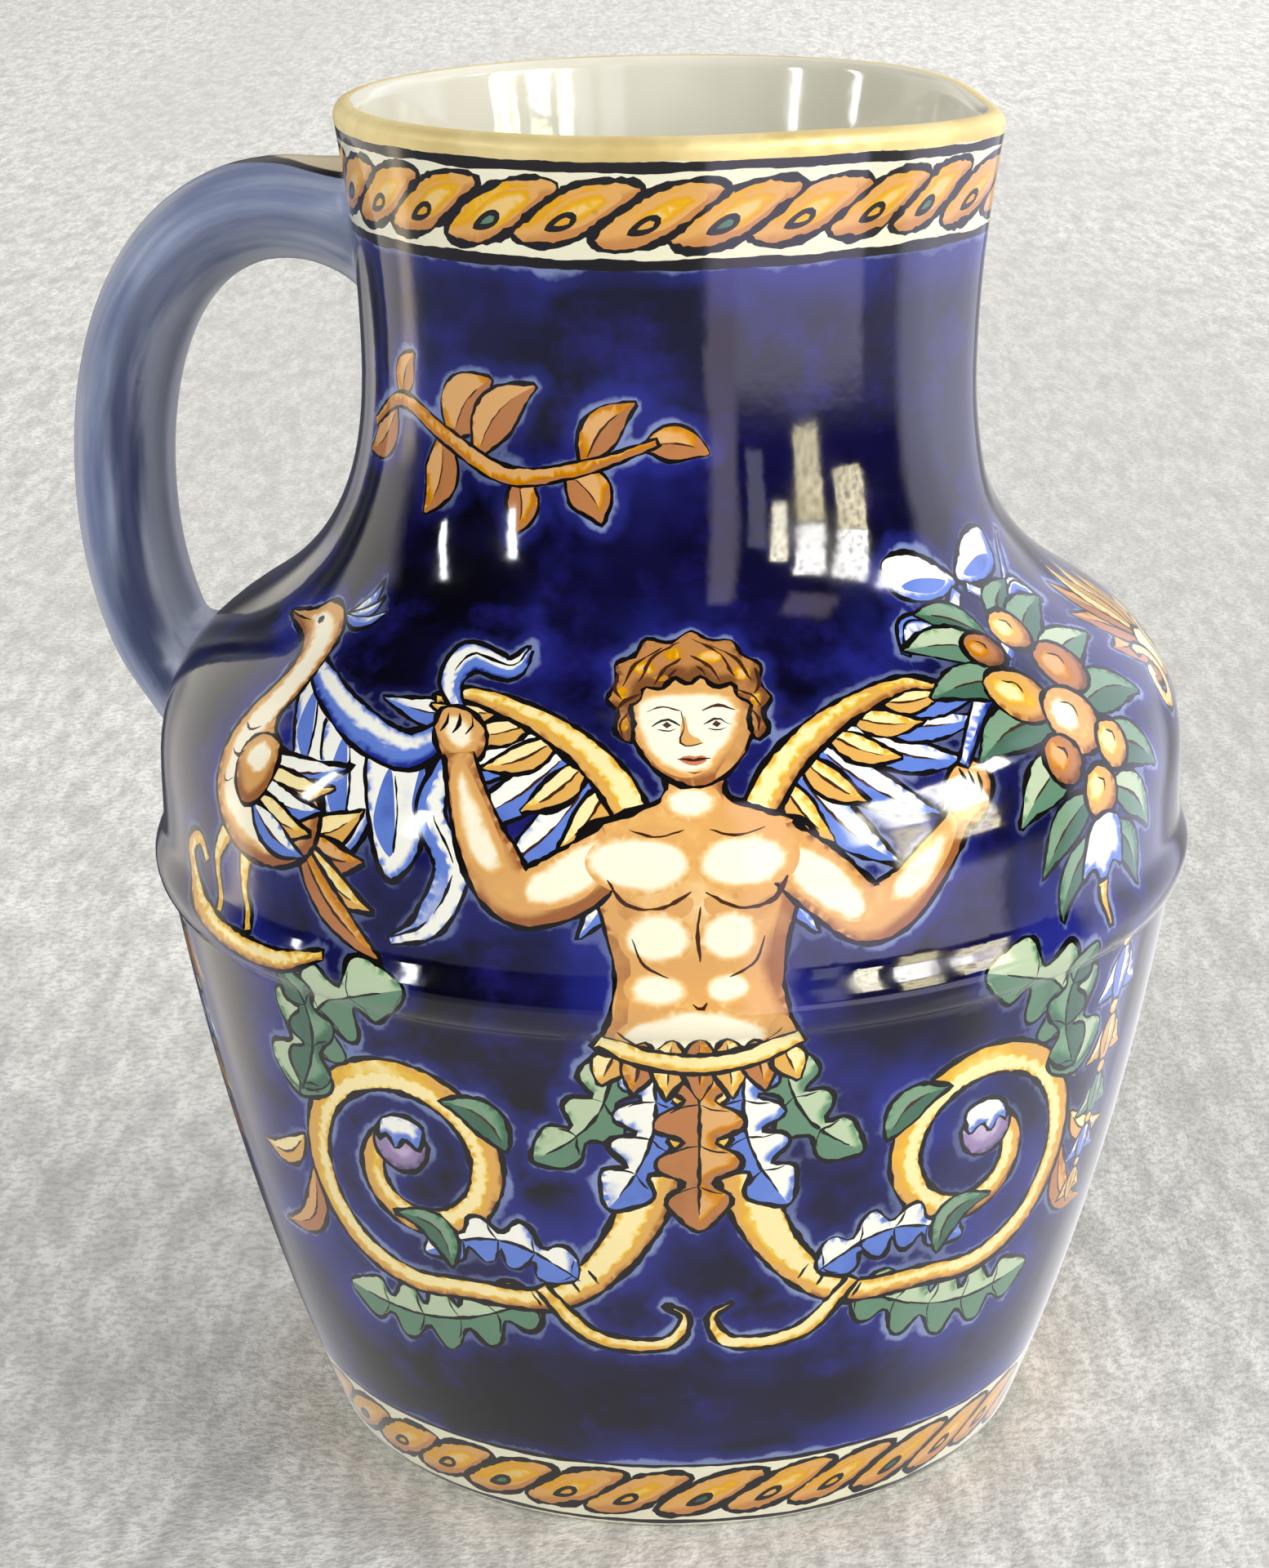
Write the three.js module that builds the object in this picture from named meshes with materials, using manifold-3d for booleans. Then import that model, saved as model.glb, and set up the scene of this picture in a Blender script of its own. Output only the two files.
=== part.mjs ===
// Cream jug: one piece of fired and glazed earthenware, with a pinched spout and a loop handle.
// Millimetres, +Z up. The origin is the middle of the foot, on the surface that the jug stands on.
// The spout points along +X and the handle along -X.

import * as THREE from 'three';
import { mergeVertices } from 'three/addons/utils/BufferGeometryUtils.js';
import Module from 'manifold-3d';

// Heights of the stretches of the outer wall, from the foot up
const lowerBodyHeight = 47.3;
const beadUndersideHeight = 2.8;
const beadTopHeight = 2.4;
const uprightHeight = 4.5;
const shoulderHeight = 12.7;
const neckHeight = 20.3;
const collarHeight = 18.9;
const lipHeight = 1.1;

// Radii of the outer wall
const footRadius = 29.3;
const creaseRadius = 41.5;
const beadRadius = 42.75;
const bodyRadius = 41.85;
const shoulderEndRadius = 34.2;
const neckRadius = 24.2;
const rimRadius = 25.7;

// Walls
const bodyWall = 3.2;
const neckWall = 2.7;
const lipWall = 2.1;
const floorThickness = 4.2;
const floorCornerRadius = 6;
const footEdgeRadius = 0.8;

// How full the curves are: shares of the stretch that each one spans
const lowerBodyBulge = 2.1;
const bulgeHeightShare = 0.45;
const beadUndersideFullness = 0.7;
const beadTopFullness = 0.45;
const shoulderFullness = 0.535;
const shoulderTurnShare = 0.42;
const neckTurnShare = 0.405;
const neckFullness = 0.517;
const innerCornerEase = 0.6;

// Spout: how far its tip is pulled out and down. The pull begins where the shoulder turns into the neck
const spoutPull = 2.2;
const spoutDip = 1.0;
const spoutDipAngle = THREE.MathUtils.degToRad(58);
const spoutTipSoftness = THREE.MathUtils.degToRad(5);
const spoutEaseShare = 0.35;

// Handle: an oval section along a loop from the collar to the upper body
const handleThickness = 8.4;
const handleWidth = 9.6;
const handleStandOff = 5.25;
const handleTopDrop = 11.8;
const handleArchRise = 6.6;
const handleWidestRise = 7.1;
const handleFootRise = 4.7;
const handleRootDepth = 1.3;
const handleRootFlare = 1.6;
const handleFlareLength = 6;
const archReachShare = 0.54;
const archFullness = 0.85;
const returnFullness = 0.65;
const returnReachShare = 0.68;
const returnHeightShare = 0.3;

// Facets
const sidesAround = 56;
const handleSides = 18;
const handleSteps = 34;

const creaseHeight = lowerBodyHeight;
const beadHeight = creaseHeight + beadUndersideHeight;
const uprightStart = beadHeight + beadTopHeight;
const shoulderStart = uprightStart + uprightHeight;
const shoulderEnd = shoulderStart + shoulderHeight;
const neckWaist = shoulderEnd + neckHeight;
const lipStart = neckWaist + collarHeight;
const jugHeight = lipStart + lipHeight;
const bulgeHeight = creaseHeight * bulgeHeightShare;
const bulgeRadius = (footRadius + creaseRadius) / 2 + lowerBodyBulge;
const footLean = (bulgeRadius - footRadius) / bulgeHeight;

const point = (radius, height) => new THREE.Vector2(radius, height);

// Slope of the wall where the shoulder turns into the neck, as a unit vector up the wall
const shoulderAngle = THREE.MathUtils.degToRad(148.7);
const shoulderSlope = point(Math.cos(shoulderAngle), Math.sin(shoulderAngle));

// A point moved into the wall, square to the slope at the end of the shoulder
function behindShoulder(depth) {
  return point(shoulderEndRadius - shoulderSlope.y * depth, shoulderEnd + shoulderSlope.x * depth);
}

// The S of shoulder and neck, at a depth below the outer surface
function shoulderAndNeck(bodyDepth, neckDepth) {
  const middleDepth = (bodyDepth + neckDepth) / 2;
  const turn = behindShoulder(middleDepth);
  const fullness = shoulderHeight * shoulderFullness - bodyDepth * innerCornerEase;
  const shoulder = new THREE.CubicBezierCurve(
    point(bodyRadius - bodyDepth, shoulderStart),
    point(bodyRadius - bodyDepth, shoulderStart + fullness),
    turn.clone().addScaledVector(shoulderSlope, -shoulderHeight * shoulderTurnShare),
    turn
  );
  const neck = new THREE.CubicBezierCurve(
    turn,
    turn.clone().addScaledVector(shoulderSlope, neckHeight * neckTurnShare),
    point(neckRadius - neckDepth, neckWaist - neckHeight * neckFullness),
    point(neckRadius - neckDepth, neckWaist)
  );
  return [shoulder, neck];
}

// The lower wall from a height above the foot up to the crease, at a depth below the outer surface
function lowerWall(depth, startHeight) {
  return new THREE.QuadraticBezierCurve(
    point(footRadius - depth + footLean * startHeight, startHeight),
    point(bulgeRadius - depth, bulgeHeight),
    point(creaseRadius - depth, creaseHeight)
  );
}

// The collar from the neck's waist out to the lip
function collar(neckDepth, lipDepth) {
  return new THREE.QuadraticBezierCurve(
    point(neckRadius - neckDepth, neckWaist),
    point(neckRadius - neckDepth, neckWaist + collarHeight / 2),
    point(rimRadius - lipDepth, lipStart)
  );
}

// The outer wall from the middle of the underside up to the rim
function outerOutline() {
  const [shoulder, neck] = shoulderAndNeck(0, 0);
  const curves = [
    [new THREE.QuadraticBezierCurve(
      point(footRadius - footEdgeRadius, 0),
      point(footRadius, 0),
      point(footRadius + footLean * footEdgeRadius, footEdgeRadius)
    ), 2],
    [lowerWall(0, footEdgeRadius), 8],
    [new THREE.QuadraticBezierCurve(
      point(creaseRadius, creaseHeight),
      point(beadRadius, beadHeight - beadUndersideHeight * beadUndersideFullness),
      point(beadRadius, beadHeight)
    ), 3],
    [new THREE.CubicBezierCurve(
      point(beadRadius, beadHeight),
      point(beadRadius, beadHeight + beadTopHeight * beadTopFullness),
      point(bodyRadius, uprightStart - beadTopHeight * beadTopFullness),
      point(bodyRadius, uprightStart)
    ), 3],
    [new THREE.LineCurve(point(bodyRadius, uprightStart), point(bodyRadius, shoulderStart)), 1],
    [shoulder, 7],
    [neck, 7],
    [collar(0, 0), 4]
  ];
  return [point(0, 0), ...joinCurves(curves)];
}

// The rounded lip, from the outer wall over to the inner one
function lipOutline() {
  const middle = rimRadius - lipWall / 2;
  const steps = 6;
  const outline = [];
  for (let i = 1; i < steps; i += 1) {
    const angle = Math.PI * i / steps;
    outline.push(point(middle + Math.cos(angle) * lipWall / 2, lipStart + Math.sin(angle) * lipHeight));
  }
  return outline;
}

// The inner wall from the rim down to the middle of the floor
function innerOutline() {
  const [shoulder, neck] = shoulderAndNeck(bodyWall, neckWall);
  const floorEdge = footRadius - bodyWall + footLean * floorThickness;
  const cornerTop = floorThickness + floorCornerRadius;
  const upwards = [
    [new THREE.QuadraticBezierCurve(
      point(floorEdge - floorCornerRadius, floorThickness),
      point(floorEdge, floorThickness),
      point(floorEdge + footLean * floorCornerRadius, cornerTop)
    ), 3],
    [lowerWall(bodyWall, cornerTop), 4],
    [new THREE.LineCurve(
      point(creaseRadius - bodyWall, creaseHeight),
      point(bodyRadius - bodyWall, shoulderStart)
    ), 1],
    [shoulder, 5],
    [neck, 5],
    [collar(neckWall, lipWall), 3]
  ];
  return [point(0, floorThickness), ...joinCurves(upwards)].reverse();
}

function joinCurves(curves) {
  const outline = [];
  for (const [curve, steps] of curves) {
    const points = curve.getPoints(steps);
    outline.push(...(outline.length > 0 ? points.slice(1) : points));
  }
  return outline;
}

// How much of the spout's pull a height has, from nothing at the foot of the neck to all of it at the lip
function spoutShare(height) {
  const t = THREE.MathUtils.clamp((height - shoulderEnd) / (jugHeight - shoulderEnd), 0, 1);
  return Math.sqrt(t) * THREE.MathUtils.smoothstep(t, 0, spoutEaseShare);
}

// The pinched plan of the spout: two straight flanks that leave the round neck and meet in a soft tip
function pullSpout(geometry) {
  const position = geometry.attributes.position;
  for (let i = 0; i < position.count; i += 1) {
    const x = position.getX(i);
    const y = position.getY(i);
    const height = position.getZ(i);
    const radius = Math.hypot(x, y);
    const share = spoutShare(height);
    if (share > 0) {
      const angle = Math.atan2(y, x);
      const flank = Math.acos(radius / (radius + spoutPull * share));
      const softAngle = Math.hypot(angle, spoutTipSoftness);
      const pulled = softAngle < flank ? radius / Math.cos(flank - softAngle) : radius;
      const dipAngle = THREE.MathUtils.clamp(angle / spoutDipAngle, -1, 1) * Math.PI;
      const dipShare = (1 + Math.cos(dipAngle)) / 2;
      const lipShare = THREE.MathUtils.smoothstep(height, neckWaist, jugHeight);
      position.setXYZ(
        i,
        pulled * Math.cos(angle),
        pulled * Math.sin(angle),
        height - spoutDip * dipShare * lipShare
      );
    }
  }
}

function bodyGeometry() {
  const outline = [...outerOutline(), ...lipOutline(), ...innerOutline()];
  const geometry = new THREE.LatheGeometry(outline, sidesAround);
  geometry.rotateX(Math.PI / 2);
  pullSpout(geometry);
  return geometry;
}

// The handle's middle line in the plane of the spout, from the collar over to the upper body
function handlePath() {
  const reach = bodyRadius + handleStandOff;
  const topHeight = jugHeight - handleTopDrop;
  const widestHeight = shoulderEnd + handleWidestRise;
  const footHeight = uprightStart + handleFootRise;
  const returnHeight = widestHeight - footHeight;
  const at = (radius, height) => new THREE.Vector3(-radius, 0, height);
  const path = new THREE.CurvePath();
  path.add(new THREE.CubicBezierCurve3(
    at(neckRadius - handleRootDepth, topHeight),
    at(neckRadius + (reach - neckRadius) * archReachShare, topHeight + handleArchRise),
    at(reach, widestHeight + (topHeight - widestHeight) * archFullness),
    at(reach, widestHeight)
  ));
  path.add(new THREE.CubicBezierCurve3(
    at(reach, widestHeight),
    at(reach, footHeight + returnHeight * returnFullness),
    at(bodyRadius + handleStandOff * returnReachShare, footHeight + returnHeight * returnHeightShare),
    at(bodyRadius - handleRootDepth, footHeight)
  ));
  return path;
}

// A closed rod, bent along the path. It widens at its roots, where its section turns upright like the wall
function handleGeometry() {
  const geometry = new THREE.CylinderGeometry(1, 1, 1, handleSides, handleSteps);
  const path = handlePath();
  const length = path.getLength();
  const position = geometry.attributes.position;
  const across = new THREE.Vector3(0, 1, 0);
  for (let i = 0; i < position.count; i += 1) {
    const along = THREE.MathUtils.clamp(0.5 - position.getY(i), 0, 1);
    const middle = path.getPointAt(along);
    const outwards = new THREE.Vector3().crossVectors(across, path.getTangentAt(along)).normalize();
    const fromEnd = Math.min(along, 1 - along) * length;
    const rootShare = Math.max(0, 1 - fromEnd / handleFlareLength);
    const alongWall = new THREE.Vector3(0, 0, along < 0.5 ? 1 : -1);
    outwards.lerp(alongWall, Math.sqrt(rootShare)).normalize();
    const flare = handleRootFlare * rootShare * rootShare;
    const place = middle
      .addScaledVector(outwards, position.getX(i) * (handleThickness / 2 + flare))
      .addScaledVector(across, position.getZ(i) * (handleWidth / 2 + flare));
    position.setXYZ(i, place.x, place.y, place.z);
  }
  return geometry;
}

const wasm = await Module();
wasm.setup();

// A closed solid from a geometry whose shared corners are merged and whose collapsed facets are dropped
function toSolid(geometry) {
  const plain = geometry.clone();
  plain.deleteAttribute('normal');
  plain.deleteAttribute('uv');
  const merged = mergeVertices(plain, 1e-3);
  const corners = merged.index.array;
  const kept = [];
  for (let i = 0; i < corners.length; i += 3) {
    const [a, b, c] = [corners[i], corners[i + 1], corners[i + 2]];
    if (a !== b && b !== c && c !== a) {
      kept.push(a, b, c);
    }
  }
  return new wasm.Manifold(new wasm.Mesh({
    numProp: 3,
    vertProperties: new Float32Array(merged.attributes.position.array),
    triVerts: new Uint32Array(kept)
  }));
}

function toGeometry(solid) {
  const mesh = solid.getMesh();
  const geometry = new THREE.BufferGeometry();
  geometry.setAttribute('position', new THREE.BufferAttribute(mesh.vertProperties, 3));
  geometry.setIndex(new THREE.BufferAttribute(mesh.triVerts, 1));
  geometry.computeVertexNormals();
  return geometry;
}

const glaze = new THREE.MeshStandardMaterial({ color: 0x1b2168, roughness: 0.12, metalness: 0 });

const jug = new THREE.Mesh(toGeometry(toSolid(bodyGeometry()).add(toSolid(handleGeometry()))), glaze);
jug.name = 'jug';

const creamJug = new THREE.Group();
creamJug.name = 'cream_jug';
creamJug.add(jug);

export default creamJug;
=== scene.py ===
import math
import bpy
import numpy as np
from mathutils import Matrix, Vector
from mathutils.geometry import delaunay_2d_cdt
from mathutils.kdtree import KDTree


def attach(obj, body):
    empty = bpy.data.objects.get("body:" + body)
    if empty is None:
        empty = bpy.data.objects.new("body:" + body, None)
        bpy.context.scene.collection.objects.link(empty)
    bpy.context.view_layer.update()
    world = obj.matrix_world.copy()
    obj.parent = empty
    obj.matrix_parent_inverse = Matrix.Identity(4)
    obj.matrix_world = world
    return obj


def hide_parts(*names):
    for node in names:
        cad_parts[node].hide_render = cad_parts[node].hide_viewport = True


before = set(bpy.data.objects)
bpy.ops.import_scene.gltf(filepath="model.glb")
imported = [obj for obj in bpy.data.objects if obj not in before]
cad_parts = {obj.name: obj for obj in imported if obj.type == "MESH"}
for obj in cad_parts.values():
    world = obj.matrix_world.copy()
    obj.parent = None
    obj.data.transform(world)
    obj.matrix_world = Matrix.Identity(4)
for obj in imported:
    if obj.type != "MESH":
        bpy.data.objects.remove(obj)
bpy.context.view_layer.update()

mm = 0.001
chance = np.random.default_rng(11)

# The jug's wall, millimetres, as the solid has it
wall = {
    "creaseHeight": 47.3, "beadHeight": 50.1, "uprightStart": 52.5, "shoulderStart": 57.0,
    "shoulderEnd": 69.7, "neckWaist": 90.0, "lipStart": 108.9, "jugHeight": 110.0,
    "footRadius": 29.3, "bulgeRadius": 37.5, "creaseRadius": 41.5, "beadRadius": 42.75,
    "bodyRadius": 41.85, "shoulderRadius": 34.2, "neckRadius": 24.2, "rimRadius": 25.7,
    "bodyWall": 3.2, "neckWall": 2.7, "lipWall": 2.1, "gildingOver": 0.35, "floorThickness": 4.2,
    "floorCorner": 6.0, "footEdge": 0.8, "footRingWidth": 4.0, "footRecess": 1.1,
    "shoulderAngle": 148.7, "softCorner": 0.5,
    "spoutPull": 2.2, "spoutDip": 1.0, "spoutDipAngle": 58.0, "spoutSoftness": 5.0,
}
# The handle, millimetres
handle = {
    "thickness": 8.26, "width": 9.6, "reach": 47.1, "topHeight": 98.2, "archRise": 6.6,
    "widestHeight": 76.8, "footHeight": 57.2, "rootDepth": 1.3, "sides": 32, "rings": 46,
    "topRoot": (7.0, 6.6), "lowRoot": (7.2, 7.6), "filletLength": 6.5, "filletRings": 9,
    "filletFlare": 0.75, "filletPull": 1.15,
}
# How fine the mesh is, millimetres: columns around, rows up, the closer dots where there is painting,
# how far these stay clear of the outlines, and how near points are merged
fine = {
    "columns": 120, "row": 1.3, "dot": 0.62, "dotReach": 1.4, "outline": 0.45, "profile": 0.1,
    "dotClear": 0.2, "gridClear": 0.22, "cutClear": 0.06, "rowClear": 0.15,
    "weld": 0.012, "seamWeld": 0.008, "spinWeld": 0.002,
}

seamAngle = math.radians(27)     # the hidden side, where the drawing sheet is cut open
flatRadius = wall["bodyRadius"]   # the sheet is as wide as the wall is round here


def quadCurve(a, b, c, steps):
    t = np.linspace(0, 1, steps + 1)[:, None]
    a, b, c = (np.array(p, float) for p in (a, b, c))
    return (1 - t) ** 2 * a + 2 * t * (1 - t) * b + t ** 2 * c


def cubicCurve(a, b, c, d, steps):
    t = np.linspace(0, 1, steps + 1)[:, None]
    a, b, c, d = (np.array(p, float) for p in (a, b, c, d))
    return (1 - t) ** 3 * a + 3 * t * (1 - t) ** 2 * b + 3 * t * t * (1 - t) * c + t ** 3 * d


def joined(curves):
    return np.concatenate([curves[0]] + [c[1:] for c in curves[1:]])


def spaced(points, step):
    # the same line with its points at even distances
    lengths = np.concatenate([[0], np.cumsum(np.hypot(*np.diff(points, axis=0).T))])
    count = max(2, int(round(lengths[-1] / step)) + 1)
    at = np.linspace(0, lengths[-1], count)
    return np.stack([np.interp(at, lengths, points[:, i]) for i in (0, 1)], 1)


def shoulderAndNeck(bodyDepth, neckDepth):
    w = wall
    angle = math.radians(w["shoulderAngle"])
    slope = np.array([math.cos(angle), math.sin(angle)])
    depth = (bodyDepth + neckDepth) / 2
    turn = np.array([w["shoulderRadius"] - slope[1] * depth, w["shoulderEnd"] + slope[0] * depth])
    rise, neckRise = w["shoulderEnd"] - w["shoulderStart"], w["neckWaist"] - w["shoulderEnd"]
    edge, waist = w["bodyRadius"] - bodyDepth, w["neckRadius"] - neckDepth
    shoulder = cubicCurve((edge, w["shoulderStart"]),
                          (edge, w["shoulderStart"] + rise * 0.535 - bodyDepth * 0.6),
                          turn - slope * rise * 0.42, turn, 60)
    neck = cubicCurve(turn, turn + slope * neckRise * 0.405,
                      (waist, w["neckWaist"] - neckRise * 0.517), (waist, w["neckWaist"]), 60)
    return [shoulder, neck]


def lowerBulge():
    # how high up the lower wall bulges, and how it leans out on the way there
    height = wall["creaseHeight"] * 0.45
    return height, (wall["bulgeRadius"] - wall["footRadius"]) / height


def lowerWall(depth, startHeight):
    w = wall
    bulgeHeight, lean = lowerBulge()
    return quadCurve((w["footRadius"] - depth + lean * startHeight, startHeight),
                     (w["bulgeRadius"] - depth, bulgeHeight),
                     (w["creaseRadius"] - depth, w["creaseHeight"]), 80)


def collar(neckDepth, lipDepth):
    w = wall
    waist = w["neckRadius"] - neckDepth
    return quadCurve((waist, w["neckWaist"]), (waist, (w["neckWaist"] + w["lipStart"]) / 2),
                     (w["rimRadius"] - lipDepth, w["lipStart"]), 40)


def outerProfile():
    w = wall
    lower = lowerWall(0, w["footEdge"])
    underBead, overBead = w["beadHeight"] - w["creaseHeight"], w["uprightStart"] - w["beadHeight"]
    points = joined([
        quadCurve((w["footRadius"] - w["footEdge"], 0), (w["footRadius"], 0), lower[0], 12),
        lower,
        quadCurve((w["creaseRadius"], w["creaseHeight"]),
                  (w["beadRadius"], w["beadHeight"] - underBead * 0.7),
                  (w["beadRadius"], w["beadHeight"]), 24),
        cubicCurve((w["beadRadius"], w["beadHeight"]),
                   (w["beadRadius"], w["beadHeight"] + overBead * 0.2),
                   (w["bodyRadius"], w["uprightStart"] - overBead * 0.2),
                   (w["bodyRadius"], w["uprightStart"]), 24),
        np.array([[w["bodyRadius"], w["uprightStart"]], [w["bodyRadius"], w["shoulderStart"]]]),
        *shoulderAndNeck(0, 0),
        collar(0, 0)])
    points = spaced(points, fine["profile"])
    reach = int(w["softCorner"] / fine["profile"])
    for i in range(1, len(points) - 1):      # the glaze softens the crease under the bead
        n = min(reach, i, len(points) - 1 - i)
        points[i, 0] = points[i - n:i + n + 1, 0].mean()
    return points


profile = outerProfile()
profileLength = np.concatenate([[0], np.cumsum(np.hypot(*np.diff(profile, axis=0).T))])
wallLength = profileLength[-1]


def radiusAt(up):
    return np.interp(up, profileLength, profile[:, 0])


def heightAt(up):
    return np.interp(up, profileLength, profile[:, 1])


def upAt(height):
    # the way up the wall to a height
    return np.interp(height, profile[:, 1], profileLength)


def eased(t):
    t = np.clip(t, 0, 1)
    return t * t * (3 - 2 * t)


def pullSpout(places):
    # two straight flanks leave the round neck and meet in a soft tip, which also dips a little
    w = wall
    x, y, z = places.T
    radius, angle = np.hypot(x, y), np.arctan2(y, x)
    t = np.clip((z - w["shoulderEnd"]) / (w["jugHeight"] - w["shoulderEnd"]), 0, 1)
    share = np.sqrt(t) * eased(t / 0.35)
    flank = np.arccos(np.clip(radius / np.maximum(radius + w["spoutPull"] * share, 1e-6), -1, 1))
    soft = np.hypot(angle, math.radians(w["spoutSoftness"]))
    pulled = np.where((share > 0) & (soft < flank), radius / np.cos(np.minimum(flank - soft, 1)), radius)
    dip = (1 + np.cos(np.clip(angle / math.radians(w["spoutDipAngle"]), -1, 1) * math.pi)) / 2
    dip = dip * eased((z - w["neckWaist"]) / (w["jugHeight"] - w["neckWaist"]))
    return np.stack([pulled * np.cos(angle), pulled * np.sin(angle), z - w["spoutDip"] * dip], 1)


def roundPlace(angle, up):
    radius = radiusAt(up)
    return np.stack([radius * np.cos(angle), radius * np.sin(angle), heightAt(up)], 1)


def wallNormals(angle, up):
    # from the shape itself, so that reflections run smoothly over the uneven triangles of the painting
    du, da = 0.08, 0.002
    low, high = np.clip(up - du, 0, wallLength), np.clip(up + du, 0, wallLength)
    upwards = pullSpout(roundPlace(angle, high)) - pullSpout(roundPlace(angle, low))
    around = pullSpout(roundPlace(angle + da, up)) - pullSpout(roundPlace(angle - da, up))
    normals = np.cross(around, upwards)
    return normals / np.linalg.norm(normals, axis=1)[:, None]


# Colours of the painting as light, middle and dark, in the sRGB values a colour picker shows
paints = {
    "cream": ((0.98, 0.95, 0.85), (0.85, 0.64, 0.38), (0.60, 0.37, 0.20)),
    "ochre": ((0.97, 0.90, 0.66), (0.86, 0.66, 0.34), (0.62, 0.38, 0.18)),
    "rust": ((0.86, 0.66, 0.42), (0.71, 0.47, 0.28), (0.46, 0.27, 0.15)),
    "hair": ((0.90, 0.74, 0.46), (0.72, 0.50, 0.28), (0.48, 0.30, 0.16)),
    "lips": ((0.88, 0.62, 0.46), (0.80, 0.50, 0.36), (0.66, 0.36, 0.26)),
    "green": ((0.72, 0.79, 0.66), (0.38, 0.53, 0.43), (0.17, 0.31, 0.25)),
    "moss": ((0.48, 0.61, 0.50), (0.27, 0.42, 0.34), (0.11, 0.22, 0.18)),
    "white": ((0.96, 0.96, 0.92), (0.38, 0.50, 0.82), (0.11, 0.17, 0.55)),
    "lilac": ((0.86, 0.83, 0.88), (0.58, 0.50, 0.66), (0.36, 0.30, 0.46)),
    "band": ((0.94, 0.93, 0.86), (0.91, 0.90, 0.81), (0.82, 0.81, 0.76)),
    "lozenge": ((0.91, 0.77, 0.48), (0.86, 0.65, 0.36), (0.76, 0.52, 0.28)),
    "slate": ((0.56, 0.60, 0.70), (0.44, 0.49, 0.62), (0.27, 0.31, 0.46)),
    "ink": ((0.12, 0.10, 0.10), (0.07, 0.06, 0.06), (0.03, 0.03, 0.04)),
    "umber": ((0.34, 0.20, 0.12), (0.26, 0.14, 0.08), (0.16, 0.09, 0.05)),
    "gold": ((0.85, 0.74, 0.42), (0.80, 0.66, 0.34), (0.66, 0.52, 0.25)),
}
painting = []     # laid on in this order, as a painter does
fromLeftAbove = (-0.53, 0.85)
# How the outlines are drawn: how heavily, how much the brush swells and how often (mm), and how grainy
# and shaky its edge is
inkBrush = {"weight": 0.72, "swell": 0.32, "swellStep": 1.3, "grain": 0.17, "shake": 0.022}


def layMark(outline, colours, depth, tone, light=fromLeftAbove):
    # depth is how far in from its edge a form is shaded; a flat wash has none, and a glow has no light
    painting.append({"outline": outline, "colours": colours, "depth": depth, "light": light,
                     "tone": tone})


def smooth(points, closed=False):
    # a line drawn freely through a few points (Catmull-Rom)
    p = np.array(points, float)
    if closed:
        p = np.concatenate([p[-1:], p, p[:2]])
    else:
        p = np.concatenate([2 * p[:1] - p[1:2], p, 2 * p[-1:] - p[-2:-1]])
    t = np.linspace(0, 1, 12, endpoint=False)[:, None]
    parts = []
    for a, b, c, d in zip(p[:-3], p[1:-2], p[2:-1], p[3:]):
        parts.append(0.5 * (2 * b + (c - a) * t + (2 * a - 5 * b + 4 * c - d) * t ** 2
                            + (3 * b - a - 3 * c + d) * t ** 3))
    line = np.concatenate(parts + [p[-2:-1]])
    line = spaced(line, fine["outline"])
    return line[:-1] if closed else line


def strip(line, half):
    # the two edges of a brush line, as one closed outline
    along = np.gradient(line, axis=0)
    along /= np.maximum(np.hypot(*along.T), 1e-9)[:, None]
    side = np.stack([-along[:, 1], along[:, 0]], 1) * np.asarray(half)[:, None]
    return np.concatenate([line + side, (line - side)[::-1]])


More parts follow.
